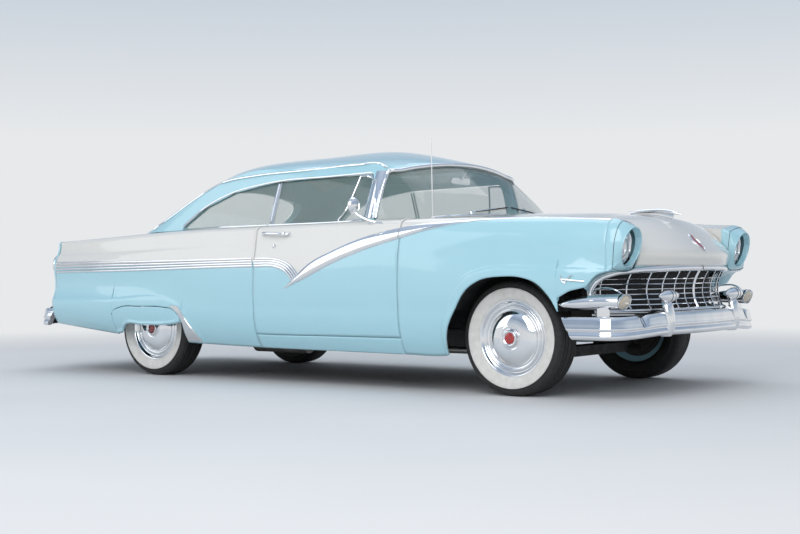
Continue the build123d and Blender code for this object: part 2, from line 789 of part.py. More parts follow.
plate_hole_spacing = 178.0
plate_hole_radius = 3.5
plate_hole_z = 560.0
plate_setback = 43.0


def make_plate_bracket():
    """The upright plate behind the number plate, with its two bolt holes."""
    x = plate_setback - bumper_tip_x
    plate = box(x, x + 5, -150, 150, bumper_top_z - 20, plate_hole_z + 30)
    for y in (-plate_hole_spacing / 2, plate_hole_spacing / 2):
        plate = plate - rod((x - 5, y, plate_hole_z), (x + 10, y, plate_hole_z), plate_hole_radius)
    return plate


def make_bumper(root_x, side, wrap, depth):
    """A rear bumper with two guards and the brackets that reach the frame rails at root_x."""
    bar = Solid.sweep(bumper_section(side, wrap), bumper_path(side, wrap, depth))
    for hand in (-1, 1):
        arm = box(52 - bumper_tip_x, root_x, hand * rail_y - 20, hand * rail_y + 20, 375, 430)
        bar = bar + arm + make_guard(hand * guard_y)
    return bar


def make_front_bumper(pod):
    bar = make_bumper(-frame_front_x, front_bumper_half_width, front_bumper_wrap, front_corner_depth)
    bar = bar.rotate(Axis.Z, 180)
    for hand in (-1, 1):
        bar = bar + make_guard_wing(hand * guard_y)
    for side in both_sides(pod):
        bar = bar + side
    return bar


def make_rear_bumper():
    bar = make_bumper(frame_rear_x, rear_bumper_half_width, rear_bumper_wrap, rear_corner_depth)
    return bar + make_plate_bracket()


# The chrome pod at the bumper's end: how far behind the bumper's tip, then the centre's y and z, the half
# width and the half height.
POD = [(445, 922, pod_z, 9, 8), (370, 900, pod_z, 32, 34), (270, 866, pod_z, 58, 54), (160, 832, pod_z, 70, 58)]


def make_parking_lamp():
    """The chrome pod at the bumper's end on its foot, and the lens in its front."""
    rows = [(bumper_tip_x - behind, *rest) for behind, *rest in POD]
    pod = ellipse_loft(rows)
    x, y, z, half_width, half_height = rows[-1]
    room = ellipse_plug(x, y, z, half_width - 12, half_height - 12, 16)
    gap = 12 + seat_gap
    lens = ellipse_plug(x, y, z, half_width - gap, half_height - gap, 16 - seat_gap)
    foot = box(x - 22, x - 2, y + 38, y + 58, bumper_top_z - 15, z - 30)
    return pod + foot - room, lens


def make_tail_cap():
    """The quarter's rear face with the round housing that carries the tail lamp."""
    p = side_points(tail_x)
    x = tail_x
    r = tail_lamp_radius
    inner = deck_half_width + panel_gap
    turn = at_x(x, p["inner"], (inner, p["sill"][1]), p["sill"])
    face = Face(Wire(outer_edges(x, p, "sill") + chain(turn)))
    panel = Solid.extrude(face, Vector(-14, 0, 0))
    y = p["shoulder"][0] - r
    housing = rod((x - 10, y, tail_lamp_z), (x - 70, y, tail_lamp_z), r)
    housing = housing - rod((x - 50, y, tail_lamp_z), (x - 90, y, tail_lamp_z), r - 14)
    seat = x - 50 - seat_gap
    lamp = revolve_x(
        [(seat, 0), (seat, r - 14.5), (seat - 22, r - 22), (seat - 38, 30), (seat - 42, 0)], y, tail_lamp_z
    )
    return panel + housing, lamp


def make_rear_panels(roof, quarter):
    """The panel ahead of the boot lid and the one under it."""
    rows = []
    stations = (deck_front_x + 210, deck_front_x + 110, deck_front_x + panel_gap)
    for x, middle in zip(stations, (1004, 996, 985)):
        y, z = side_points(x)["inner"]
        rows.append((x, middle, x, y - 1, z))
    shelf = fan_loft(rows, skin)
    shelf = largest(shelf - roof)
    for side in both_sides(quarter):
        shelf = largest(shelf - side)
    for stop in rest_stop(DECK[: DECK_FOLD + 1], deck_front_x - 40, deck_front_x + 50, 920, 953):
        shelf = shelf + stop
    reach = deck_half_width + panel_gap - seat_gap
    tail = box(tail_x - 14, tail_x - 4 - seat_gap, -reach, reach, boot_floor_z, 690)
    return shelf, tail


# Cross members: x and the height of their lower face.
CROSS_MEMBERS = [
    (frame_rear_x + 38, 375), (rear_axle_x - 187, 500), (rear_axle_x + 483, 247), (door_rear_x + 80, 255),
    (door_front_x - 206, 250), (frame_front_x - 90, 345),
]
cross_member_width = 70.0
cross_member_height = 48.0
spring_y = 520.0
spring_half_width = 26.0


def make_chassis():
    """Box rails in two lengths that rise over each axle, the cross members between them and the spring seats."""
    d = rail_depth
    r = rear_axle_x
    low = [
        (frame_rear_x, 370), (r - 437, 370), (r - 237, 470), (r + 213, 470), (r + 413, 245),
        (front_axle_x - 521, 245), (front_axle_x - 321, 330), (front_axle_x + 329, 330), (frame_front_x, 355),
    ]
    high = [(x - 20 * (1 < i < 7) * (-1 if i < 5 else 1), z + d) for i, (x, z) in enumerate(low)]
    inner = rail_y - rail_width / 2
    half = cross_member_width / 2
    x = front_axle_x
    tower_y = rail_y - 20
    reach = spring_y - spring_half_width - seat_gap
    rail = slab(low[1:] + high[:0:-1], inner, rail_outer_y)
    rail = rail + box(x - 60, x + 60, tower_y, rail_outer_y, 190, 485)
    rail = rail + box(r + 523, r + 551, rail_outer_y - 1, reach, 305, 340)
    tail = slab(low[:2] + high[1::-1], inner, rail_outer_y)
    tail = tail + box(r - 637, r - 607, rail_outer_y - 1, reach, 350, 385)
    members = [box(a - half, a + half, -inner, inner, z, z + cross_member_height) for a, z in CROSS_MEMBERS]
    members.append(box(x - 60, x + 60, -tower_y, tower_y, 190, 250))
    return both_sides(rail) + both_sides(tail) + members


hump_x = rear_axle_x + 448
hump_z = 640.0
hump_rear_x = rear_axle_x - 487
hump_half = 590.0
tunnel_half = 110.0
tunnel_step_x = door_front_x - 366


def make_floor():
    """The floor with its turned-down edges and tunnel, the rear hump, the boot floor and the firewall."""
    t = sheet
    f = firewall_x
    level = floor_z + t
    middle = slab(
        [(hump_x, floor_z), (f - 120, floor_z), (f + t, 470), (f + t, 985), (f, 985), (f, 474), (f - 125, level),
         (hump_x, level)],
        -floor_half,
        floor_half,
    )
    boot = boot_floor_z
    back = tail_x - 4
    reach = hump_half - seat_gap
    rear = slab(
        [(hump_x, floor_z), (hump_x, hump_z + t), (hump_rear_x - t, hump_z + t), (hump_rear_x - t, boot + t),
         (back, boot + t), (back, boot), (hump_rear_x, boot), (hump_rear_x, hump_z), (hump_x - t, hump_z),
         (hump_x - t, floor_z)],
        -reach,
        reach,
    )
    floor = middle + rear
    for side in both_sides(box(hump_x, f - 130, floor_half - t, floor_half, 250, floor_z + 1)):
        floor = floor + side
    step = tunnel_step_x
    for x0, x1, top in ((hump_x - t, step + t, 478), (step, f + t, 560)):
        floor = floor + box(x0, x1, -tunnel_half, tunnel_half, floor_z, top)
    for x0, x1, top in ((hump_x - t - 1, step, 468), (step - 1, f + t + 1, 550)):
        floor = floor - box(x0, x1, t - tunnel_half, tunnel_half - t, floor_z - 1, top)
    return floor


house_z = 310.0
house_wall = 6.0


def make_wheelhouse(x, radius, inner_y, foot_z, stations):
    """A half-round housing over a wheel, closed on its inner side and fitted to the outer skin."""
    outer_y = 1000
    ring = tube_y(radius, radius - house_wall, inner_y, outer_y, x, house_z)
    wall = rod((x, inner_y, house_z), (x, inner_y + house_wall, house_z), radius)
    shape = ring + wall
    shape = shape - box(x - 600, x + 600, inner_y - 10, outer_y + 10, house_z - 600, foot_z)
    return shape & side_loft(room_section, stations)


seat_foot_z = floor_z + sheet + seat_gap
tunnel_room = tunnel_half + 30


def make_seats():
    """The front bench and the rear one, each a cushion and a back on a base that clears the tunnel."""
    f = door_front_x
    r = rear_axle_x
    front = [
        box(f - 906, f - 406, -650, 650, 480, 620),
        slab([(f - 986, 480), (f - 906 - seat_gap, 480), (f - 1006, 965), (f - 1116, 965), (f - 1126, 900)], -650, 650),
    ]
    back_foot = hump_z + sheet + seat_gap
    rear = [
        box(r + 473, r + 933, -560, 560, 480, 640),
        slab(
            [(r + 303, back_foot), (r + 473 - seat_gap, back_foot), (r + 363, 985), (r + 203, 985)], -560, 560
        ),
    ]
    for y0, y1 in ((-600, -tunnel_room), (tunnel_room, 600)):
        front[0] = front[0] + box(f - 886, f - 426, y0, y1, seat_foot_z, 480)
    for y0, y1 in ((-540, -tunnel_room), (tunnel_room, 540)):
        rear[0] = rear[0] + box(r + 483, r + 913, y0, y1, seat_foot_z, 480)
    return front, rear


def make_dashboard():
    f = door_front_x
    reach = 786 - seat_gap
    outline = [(f - 326, 790), (f - 266, 760), (f - 6, 780), (f - 6, 960), (f - 246, 985), (f - 316, 940)]
    return slab(outline, -reach, reach)


steering_wheel_radius = 205.0
column_radius = 22.0
wheel_seat_y = 380.0


def make_steering_wheel():
    """The steering wheel with its column down to the firewall, on the left side."""
    hub = Vector(door_front_x - 636, wheel_seat_y, 830)
    axis = Vector(655, 0, -270).normalized()
    run = (firewall_x - seat_gap + column_radius * axis.Z - hub.X) / axis.X
    plane = Plane(hub, z_dir=axis)
    rim = Solid.make_torus(steering_wheel_radius, 11, plane)
    column = Solid.make_cylinder(column_radius, run, plane)
    boss = Solid.make_cylinder(42, 40, Plane(hub - axis * 10, z_dir=axis))
    spoke_length = 2 * steering_wheel_radius - 6
    spoke = plane * (Pos(0, 0, 6) * Box(spoke_length, 22, 9))
    cross = plane * (Pos(0, 0, 6) * Box(22, spoke_length, 9))
    return column + boss + spoke + cross + rim


engine_half_width = 290.0
engine_foot_z = 420.0


def make_engine():
    """The engine as a plain block on its mounts with its gearbox, and the radiator on its cross member."""
    f = front_axle_x
    block = box(f - 611, f - 31, -engine_half_width, engine_half_width, engine_foot_z, 900)
    gearbox = rod((f - 611, 0, 460), (f - 1046, 0, 445), 62)
    engine = block + gearbox
    reach = rail_y - rail_width / 2 - seat_gap
    for side in both_sides(box(f - 291, f - 211, engine_half_width - 10, reach, engine_foot_z - 30, engine_foot_z + 9)):
        engine = engine + side
    mount_x, mount_z = CROSS_MEMBERS[4]
    engine = engine + box(mount_x - 20, mount_x + 20, -30, 30, mount_z + cross_member_height + seat_gap, 400)
    x, z = CROSS_MEMBERS[5]
    radiator = box(x - 35, x + 35, -330, 330, z + cross_member_height + seat_gap, 900)
    return [engine, radiator]


coil_radius = 42.0
lower_arm_z = 205.0
upper_arm_z = 452.0


def control_arm(half_root, half_tip, z, thickness):
    """A flat arm that narrows from the frame to the kingpin."""
    x = front_axle_x
    root_y = rail_outer_y + seat_gap
    tip_y = kingpin_y - kingpin_radius - seat_gap
    corners = [
        Vector(x - half_root, root_y, z), Vector(x + half_root, root_y, z), Vector(x + half_tip, tip_y, z),
        Vector(x - half_tip, tip_y, z),
    ]
    return Solid.extrude(Face(Wire(chain(corners + corners[:1]))), Vector(0, 0, thickness))


def make_front_suspension():
    """Control arms with a coil spring between them on one side."""
    y = rail_outer_y + coil_radius + 13
    spring = rod((front_axle_x, y, lower_arm_z + 21), (front_axle_x, y, upper_arm_z + 1), coil_radius)
    return control_arm(150, 28, lower_arm_z, 22) + spring + control_arm(110, 24, upper_arm_z, 18)


def make_knuckle():
    """The upright that turns about the kingpin, with the wheel's spindle and the steering arm."""
    x = front_axle_x
    y = kingpin_y
    upright = rod((x, y, lower_arm_z - 5), (x, y, upper_arm_z + 23), kingpin_radius)
    spindle = rod((x, y, axle_z), (x, front_track / 2 + 18, axle_z), hub_bore_radius - hub_clearance)
    outline = [Vector(x - 5, y + 8, 254), Vector(x - 5, y - 8, 254), Vector(x - 105, y - 48, 254), Vector(x - 105, y - 32, 254)]
    arm = Solid.extrude(Face(Wire(chain(outline + outline[:1]))), Vector(0, 0, 16))
    return upright + spindle + arm


def make_wheel(x, track):
    """A pressed steel wheel with its drum, full cover and hub bore, on the left side."""
    c = track / 2
    w = rim_width / 2
    outline = [
        (c - w, rim_radius + 7), (c - w + 6, rim_radius + 7), (c - w + 8, rim_radius - 8),
        (c - 20, rim_radius - 30), (c + 20, rim_radius - 30), (c + w - 8, rim_radius - 8),
        (c + w - 6, rim_radius + 7), (c + w, rim_radius + 7), (c + w + 1, rim_radius - 2),
        (c + w - 6, 188), (c + w - 18, 162), (c + w - 2, 150), (c + w + 16, 110), (c + w + 24, 62),
        (c + w + 30, 46), (c + w + 38, 28), (c + w + 40, 0), (c + 22, 0), (c + 22, hub_bore_radius),
        (c - w + 30, hub_bore_radius), (c - w + 30, 140), (c - w + 34, 145), (c + 12, 145),
        (c + 12, rim_radius - 44), (c - 22, rim_radius - 44), (c - w, rim_radius - 22),
    ]
    return revolve_y(outline, x, axle_z)


def make_tyre(x, track):
    """A tyre that fills its rim, with flat tread and round shoulders."""
    c = track / 2
    h = tyre_width / 2
    w = rim_width / 2
    r = tyre_radius
    bead = rim_radius + 7.3
    edges = [
        Edge.make_line(Vector(x, c - h + 26, axle_z + r), Vector(x, c + h - 26, axle_z + r)),
        Edge.make_three_point_arc(
            Vector(x, c + h - 26, axle_z + r), Vector(x, c + h - 6, axle_z + r - 14), Vector(x, c + h, axle_z + r - 48)
        ),
        Edge.make_three_point_arc(
            Vector(x, c + h, axle_z + r - 48), Vector(x, c + h - 4, axle_z + bead + 22), Vector(x, c + w, axle_z + bead)
        ),
        Edge.make_line(Vector(x, c + w, axle_z + bead), Vector(x, c - w, axle_z + bead)),
        Edge.make_three_point_arc(
            Vector(x, c - w, axle_z + bead), Vector(x, c - h + 4, axle_z + bead + 22), Vector(x, c - h, axle_z + r - 48)
        ),
        Edge.make_three_point_arc(
            Vector(x, c - h, axle_z + r - 48), Vector(x, c - h + 6, axle_z + r - 14), Vector(x, c - h + 26, axle_z + r)
        ),
    ]
    return Solid.revolve(Face(Wire(edges)), 360, Axis((x, 0, axle_z), (0, 1, 0)))


def make_rear_axle():
    """The live axle with its differential, leaf springs and propeller shaft."""
    x = rear_axle_x
    end = rear_track / 2 - rim_width / 2 + 20
    spindle_end = rear_track / 2 + 10
    axle = rod((x, -end, axle_z), (x, end, axle_z), 36)
    axle = axle + rod((x, -spindle_end, axle_z), (x, spindle_end, axle_z), hub_bore_radius - hub_clearance)
    axle = axle + rod((x - 115, 0, axle_z), (x + 135, 0, axle_z), 118)
    axle = axle + rod((x + 130, 0, axle_z), (front_axle_x - 1051, 0, 436), 26)
    leaf = [(x - 640, 372), (x, 368), (x + 560, 336), (x + 560, 312), (x, 286), (x - 640, 346)]
    for side in both_sides(slab(leaf, spring_y - spring_half_width, spring_y + spring_half_width)):
        axle = axle + side
    return axle


pipe_y = -330.0
pipe_z = 215.0
pipe_radius = 22.0
tail_pipe_z = 300.0


def make_exhaust():
    """The pipe, silencer and tail pipe under the right side, with its hangers."""
    y = pipe_y
    r = rear_axle_x
    path = FilletPolyline(
        (front_axle_x - 521, y, pipe_z), (r + 283, y, pipe_z), (r + 143, y, 425), (r - 157, y, 425),
        (r - 377, y, tail_pipe_z), (tail_x - 190, y, tail_pipe_z), radius=90
    )
    pipe = sweep(Plane(path @ 0, z_dir=path % 0) * Circle(pipe_radius), path=path)
    pipe = pipe + rod((door_rear_x - 70, y, pipe_z), (r + 543, y, pipe_z), 58)
    for number, z in ((0, tail_pipe_z), (2, pipe_z), (3, pipe_z)):
        x, top = CROSS_MEMBERS[number]
        pipe = pipe + box(x - 10, x + 10, y - 6, y + 6, z + 15, top - seat_gap)
    return pipe


antenna_x = front_axle_x - 581
antenna_y = -762.0
antenna_height = 478.0


def make_antenna():
    """The aerial on its base, on the right fender's flat top."""
    p = side_points(antenna_x)
    across = (p["belt"][0] + antenna_y) / (p["belt"][0] - p["inner"][0])
    foot = p["belt"][1] + across * (p["inner"][1] - p["belt"][1]) - 0.6
    base = (antenna_x, antenna_y, foot)
    mast = rod(base, (antenna_x - 7, antenna_y, foot + antenna_height), 3.0)
    return mast + rod(base, (antenna_x, antenna_y, foot + 12), 14)


mirror_radius = 50.0


def make_door_fittings():
    """The mirror on its bent stem and the pull handle with its lock, on the left door."""
    x = pillar_x + 8
    head_y = 955
    head_z = 1098
    head = revolve_x(
        [(x - 8, 0), (x - 8, mirror_radius), (x, mirror_radius), (x + 16, 40), (x + 26, 22), (x + 30, 0)],
        head_y,
        head_z,
    )
    stem = rod((x + 10, head_y, head_z - 30), (x + 150, 900, 984), 7)
    grip_x = door_rear_x + 65
    grip = rod((grip_x, 958, 950), (grip_x + 215, 958, 940), 9)
    posts = rod((grip_x + 14, 905, 950), (grip_x + 14, 958, 950), 8) + rod(
        (grip_x + 190, 905, 941), (grip_x + 190, 958, 941), 8
    )
    lock = rod((grip_x + 100, 915, 868), (grip_x + 100, 937, 868), 11)
    return head + stem, grip + posts, lock


# The hood ornament: how far behind the bumper's tip, height, half width, half height.
ORNAMENT = [(507, 1041, 3, 7), (389, 1046, 15, 12), (269, 1042, 17, 13), (194, 1026, 9, 8), (169, 1019, 2, 2)]


def make_ornament():
    """The slim arrow along the hood's front, on the fin that carries it."""
    body = ellipse_loft([(bumper_tip_x - behind, 0, z, width, height) for behind, z, width, height in ORNAMENT])
    t = bumper_tip_x
    fin = slab([(t - 499, 1020), (t - 499, 1041), (t - 209, 1030), (t - 259, 980)], -4, 4)
    wing = Solid.extrude(
        Face(Wire(chain([Vector(t - 439, 0, 1042), Vector(t - 489, 70, 1042), Vector(t - 469, 70, 1042),
                         Vector(t - 329, 0, 1042), Vector(t - 439, 0, 1042)]))),
        Vector(0, 0, 4),
    )
    return body + fin + wing + mirror(wing, Plane.XZ)


def add_right(parts, name, shape):
    """Writes a left piece and its mirror image as two nodes."""
    parts[name + "_l"] = [shape]
    parts[name + "_r"] = [mirror(shape, Plane.XZ)]


def build_all():
    parts = {}
    door, fender, quarter, skirt, rocker = make_sides()
    cowl = make_cowl(fender)
    roof, screen, backlight, door_pane, quarter_pane = make_greenhouse(cowl, quarter, door)
    for fitting in make_door_fittings():
        door = door + fitting
    hood = folded_panel(HOOD, HOOD_FOLD) + make_ornament()
    deck = folded_panel(DECK, DECK_FOLD)
    lamp_hood = make_lamp_hood()
    pod, lens = make_parking_lamp()
    tail_cap, tail_lamp = make_tail_cap()
    shelf, tail = make_rear_panels(roof, quarter)
    seats_front, seats_rear = make_seats()
    add_right(parts, "door", door)
    add_right(parts, "door_glass", door_pane)
    add_right(parts, "knuckle", make_knuckle())
    for axle, x, track in (("front", front_axle_x, front_track), ("rear", rear_axle_x, rear_track)):
        add_right(parts, "wheel_" + axle, make_wheel(x, track))
        add_right(parts, "tyre_" + axle, make_tyre(x, track))
    parts["front_fenders"] = both_sides(fender)
    parts["quarter_panels"] = both_sides(quarter)
    parts["fender_skirts"] = both_sides(skirt)
    parts["rockers"] = both_sides(rocker)
    parts["roof"] = [roof]
    parts["windshield"] = [screen]
    parts["rear_windows"] = [backlight, *both_sides(quarter_pane)]
    parts["cowl"] = [cowl]
    parts["hood"] = [hood]
    parts["deck_lid"] = [deck]
    parts["rear_panels"] = [shelf, tail, *both_sides(tail_cap)]
    parts["tail_lamps"] = both_sides(tail_lamp)
    parts["headlamp_hoods"] = both_sides(lamp_hood)
    parts["front_lamps"] = both_sides(make_front_lamp()) + both_sides(lens)
    parts["grille"] = [make_grille()]
    parts["grille_surround"] = [make_grille_surround()]
    parts["front_bumper"] = [make_front_bumper(pod)]
    parts["rear_bumper"] = [make_rear_bumper()]
    parts["chassis_frame"] = make_chassis()
    parts["floor_pan"] = [make_floor()]
    front_house_shape = make_wheelhouse(front_axle_x, 392, rail_outer_y + 13, 480, fender_stations)
    rear_house_shape = make_wheelhouse(rear_axle_x, 385, hump_half, 375, quarter_stations)
    parts["wheelhouses"] = both_sides(front_house_shape) + both_sides(rear_house_shape)
    parts["front_seat"] = seats_front
    parts["rear_seat"] = seats_rear
    parts["dashboard"] = [make_dashboard()]
    parts["steering_wheel"] = [make_steering_wheel()]
    parts["engine"] = make_engine()
    parts["front_suspension"] = both_sides(make_front_suspension())
    parts["rear_axle"] = [make_rear_axle()]
    parts["exhaust"] = [make_exhaust()]
    parts["fuel_tank"] = [box(tail_x + 90, rear_axle_x - 397, -260, 340, 290, boot_floor_z - seat_gap)]
    parts["antenna"] = [make_antenna()]
    return parts


def main():
    os.makedirs("parts", exist_ok=True)
    for name, solids in build_all().items():
        flat = []
        for shape in solids:
            flat.extend(shape.solids())
        shape = flat[0] if len(flat) == 1 else Compound(children=flat)
        shape.label = name
        export_step(shape, f"parts/{name}.step")


main()
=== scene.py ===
"""Looks of a 1950s two-door hardtop car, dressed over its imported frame.

Metres. +X is the front of the car, +Y its left side and +Z up; the near side in the picture is the right.
"""

import math

import bpy
import numpy as np
from mathutils import Matrix, Vector
from mathutils.bvhtree import BVHTree


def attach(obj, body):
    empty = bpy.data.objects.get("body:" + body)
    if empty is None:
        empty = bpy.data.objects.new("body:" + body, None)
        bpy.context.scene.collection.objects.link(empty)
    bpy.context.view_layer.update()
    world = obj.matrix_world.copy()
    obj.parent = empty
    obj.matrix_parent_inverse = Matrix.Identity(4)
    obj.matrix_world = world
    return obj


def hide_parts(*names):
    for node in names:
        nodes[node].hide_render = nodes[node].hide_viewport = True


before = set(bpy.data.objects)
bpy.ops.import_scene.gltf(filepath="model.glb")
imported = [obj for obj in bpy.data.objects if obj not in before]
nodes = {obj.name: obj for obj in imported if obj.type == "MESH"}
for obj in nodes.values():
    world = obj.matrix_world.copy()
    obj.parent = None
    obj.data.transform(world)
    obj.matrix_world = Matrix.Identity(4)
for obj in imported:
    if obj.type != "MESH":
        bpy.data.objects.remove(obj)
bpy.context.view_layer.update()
scene = bpy.context.scene
scene.view_settings.view_transform = "Standard"

FRONT_AXLE_X = 1.702
REAR_AXLE_X = -1.232
FRONT_TRACK = 1.473
REAR_TRACK = 1.422
AXLE_Z = .325
TAIL_X = -2.159
DOOR_REAR_X = -.149
DOOR_FRONT_X = .997
FENDER_FRONT_X = 2.326
DOOR_INNER_Y = .8
HOOD_HALF = .6
DECK_HALF = .65
GAP = .0025
TIP_X = 2.521
GUARD_Y = .441
PLATE_Z = .557

# The body side from tail to nose: x, then y and z of the sill, low, crease, tuck, rib foot, rib head,
# shoulder, crown, belt and inner lines. Some of its columns have names.
SILL_Z, LOW_Y, LOW_Z, INNER_Y, INNER_Z = 2, 3, 4, 19, 20
SIDE = np.array([
    (-2.159, .87, .345, .905, .4, .925, .52, .897, .64, .905, .708, .903, .795, .875, .845, .86, .925,
     .838, .94, .658, .925),
    (-1.669, .88, .298, .935, .38, .952, .525, .927, .64, .93, .712, .928, .793, .905, .85, .893, .938,
     .868, .957, .658, .95),
    (-1.232, .885, .262, .945, .37, .958, .532, .941, .64, .942, .722, .938, .794, .918, .86, .905, .955,
     .876, .975, .72, .985),
    (-.669, .88, .236, .935, .34, .955, .5, .953, .63, .948, .73, .942, .796, .928, .868, .912, .972,
     .88, .992, .788, 1.0),
    (-.149, .875, .225, .925, .315, .952, .48, .956, .62, .95, .737, .944, .798, .931, .872, .914, .978,
     .884, .998, .806, 1.003),
    (.431, .875, .22, .925, .315, .95, .48, .956, .62, .951, .737, .945, .798, .932, .88, .912, .985,
     .882, 1.003, .815, 1.006),
    (.997, .875, .216, .922, .315, .946, .48, .953, .62, .95, .737, .945, .798, .93, .89, .905, .99,
     .868, 1.011, .812, 1.016),
    (1.281, .878, .216, .925, .313, .95, .48, .958, .62, .952, .74, .944, .8, .928, .9, .893, .985,
     .85, 1.01, .608, 1.006),
    (1.702, .88, .3, .93, .4, .95, .56, .957, .7, .949, .745, .942, .8, .925, .9, .885, .98,
     .845, 1.003, .608, .988),
    (2.081, .885, .33, .925, .42, .945, .56, .952, .69, .94, .745, .93, .8, .91, .9, .868, .97,
     .825, .992, .608, .968),
    (2.326, .85, .43, .865, .5, .875, .6, .876, .69, .873, .745, .873, .8, .868, .88, .835, .95,
     .79, .98, .608, .95),
])

# Skins that span the car: x and z on the centre line, then x and z at the edge.
HOOD = np.array([
    (1.281, 1.056, 1.281, 1.006), (1.651, 1.05, 1.651, .99), (2.031, 1.032, 2.021, .97),
    (2.291, .985, 2.231, .942), (2.416, .88, 2.321, .87), (2.492, .786, 2.381, .79),
    (2.475, .724, 2.361, .724),
])
DECK = np.array([
    (-1.579, .985, -1.579, .95), (-1.869, .968, -1.869, .94), (-2.089, .935, -2.079, .915),
    (-2.197, .86, -2.174, .85), (-2.231, .7, -2.204, .7),
])
DOORS = {"l": "left_door", "r": "right_door"}
ACROSS = (0, 1, 0)
AHEAD = (1, 0, 0)


def smooth_rows(table, at):
    """Rows of a table at new places along its first column, smoothly through the given rows."""
    xs = table[:, 0]
    slopes = np.gradient(table, xs, axis=0, edge_order=1)
    at = np.clip(np.atleast_1d(at), xs[0], xs[-1])
    i = np.clip(np.searchsorted(xs, at, side="right") - 1, 0, len(xs) - 2)
    step = (xs[i + 1] - xs[i])[:, None]
    t = ((at - xs[i]) / (xs[i + 1] - xs[i]))[:, None]
    return (
        (2 * t**3 - 3 * t**2 + 1) * table[i]
        + (t**3 - 2 * t**2 + t) * step * slopes[i]
        + (3 * t**2 - 2 * t**3) * table[i + 1]
        + (t**3 - t**2) * step * slopes[i + 1]
    )


def through(points, count):
    """A smooth curve through a few points, as evenly spaced points."""
    points = np.asarray(points, float)
    steps = np.linalg.norm(np.diff(points, axis=0), axis=1)
    along = np.concatenate([[0], np.cumsum(steps)])
    table = np.column_stack([along, points])
    dense = smooth_rows(table, np.linspace(0, along[-1], 12 * count))[:, 1:]
    return evenly(dense, count)


def evenly(points, count):
    """Evenly spaced points along a polyline."""
    steps = np.linalg.norm(np.diff(points, axis=0), axis=1)
    along = np.concatenate([[0], np.cumsum(steps)])
    at = np.linspace(0, along[-1], count)
    return np.column_stack([np.interp(at, along, points[:, k]) for k in range(points.shape[1])])


def xyz(x, y, z):
    """Points from their x, y and z, each a number or an array."""
    return np.stack(np.broadcast_arrays(x, y, z), -1)


def turns(count):
    """Angles round a circle."""
    return np.linspace(0, 2 * math.pi, count, endpoint=False)


def arc_points(a, b, c, count):
    """Points along the circle through a, b and c, from a to c, in a plane."""
    (ax, ay), (bx, by), (cx, cy) = a, b, c
    d = 2 * (ax * (by - cy) + bx * (cy - ay) + cx * (ay - by))
    if abs(d) < 1e-9:
        return np.linspace(a, c, count)
    ux = ((ax**2 + ay**2) * (by - cy) + (bx**2 + by**2) * (cy - ay) + (cx**2 + cy**2) * (ay - by)) / d
    uy = ((ax**2 + ay**2) * (cx - bx) + (bx**2 + by**2) * (ax - cx) + (cx**2 + cy**2) * (bx - ax)) / d
    r = math.hypot(ax - ux, ay - uy)
    t0 = math.atan2(ay - uy, ax - ux)
    t1 = math.atan2(by - uy, bx - ux)
    t2 = math.atan2(cy - uy, cx - ux)
    turn = (t2 - t0) % (2 * math.pi)
    if (t1 - t0) % (2 * math.pi) > turn:
        turn -= 2 * math.pi
    t = t0 + np.linspace(0, turn, count)
    return np.column_stack([ux + r * np.cos(t), uy + r * np.sin(t)])


def soften(points, reach):
    """Rounds a polyline's corners, keeping its ends."""
    kernel = np.exp(-np.linspace(-2, 2, 2 * reach + 1) ** 2)
    kernel /= kernel.sum()
    before = 2 * points[0] - points[reach:0:-1]
    after = 2 * points[-1] - points[-2:-reach - 2:-1]
    padded = np.vstack([before, points, after])
    return np.column_stack([np.convolve(padded[:, k], kernel, "valid") for k in range(points.shape[1])])


# Styling lines on the side, in x and z.
RIB_TOP = through([(-2.149, .795), (-1.33, .792), (-.356, .796), (-.131, .798), (.043, .791), (.136, .768),
    (.201, .728), (.236, .69)], 160)
RIB_FOOT = through([(-2.149, .708), (-1.331, .717), (-.356, .735), (-.132, .737), (.043, .732), (.111, .71),
    (.156, .676), (.181, .645)], 160)
SPEAR_TOP = through([(.116, .606), (.233, .699), (.296, .746), (.502, .836), (.701, .902), (1.007, .962),
    (1.211, .985), (1.451, .998), (1.711, 1.002), (2.031, .994), (2.321, .975)], 200)
SPEAR_FOOT = through([(.116, .6), (.296, .667), (.501, .752), (.7, .818), (1.006, .895), (1.211, .942),
    (1.451, .978), (1.711, .99), (2.031, .984), (2.321, .966)], 200)
FLARE = through([(1.281, .15), (1.297, .26), (1.309, .375), (1.39, .563), (1.495, .678), (1.615, .713),
    (1.896, .716), (2.301, .708), (2.331, .707)], 120)
REAR_CREASE = through([(-2.169, .526), (-2.049, .528), (-1.458, .532), (-.947, .535), (-.839, .5),
    (-.741, .384), (-.646, .243), (-.609, .15)], 120)
FRONT_ARCH = through([(1.314, .15), (1.318, .233), (1.337, .346), (1.409, .491), (1.488, .599), (1.574, .649),
    (1.726, .671), (1.857, .665), (1.953, .634), (2.032, .552), (2.075, .471)], 160)
REAR_ARCH = through([(-1.485, .25), (-1.487, .301), (-1.507, .38), (-1.472, .443), (-1.38, .476),
    (-1.198, .481), (-.972, .478), (-.873, .462), (-.813, .408), (-.795, .36)], 120)
SKIRT_LIP = through([(-1.489, .286), (-1.415, .298), (-1.375, .339), (-1.169, .351), (-.968, .355),
    (-.82, .375), (-.789, .385)], 80)
UPPER_CREASE = np.array([
    (-2.169, .842), (-2.106, .841), (-1.564, .839), (-.995, .864), (-.375, .875), (-.219, .88),
])
NOTCH = np.array([
    (2.071, .475), (2.071, .552), (2.141, .592), (2.221, .611), (2.236, .625), (2.256, .655), (2.286, .682),
    (2.331, .694),
])


def height(curve, x):
    """The height of a curve at x."""
    return np.interp(x, curve[:, 0], curve[:, 1])


def top_of(curve, x):
    """The height of a curve at x, or a very low one past its ends."""
    return np.interp(x, curve[:, 0], curve[:, 1], left=-1, right=-1)


def clamp(t):
    """Keeps t between 0 and 1."""
    return np.clip(t, 0, 1)


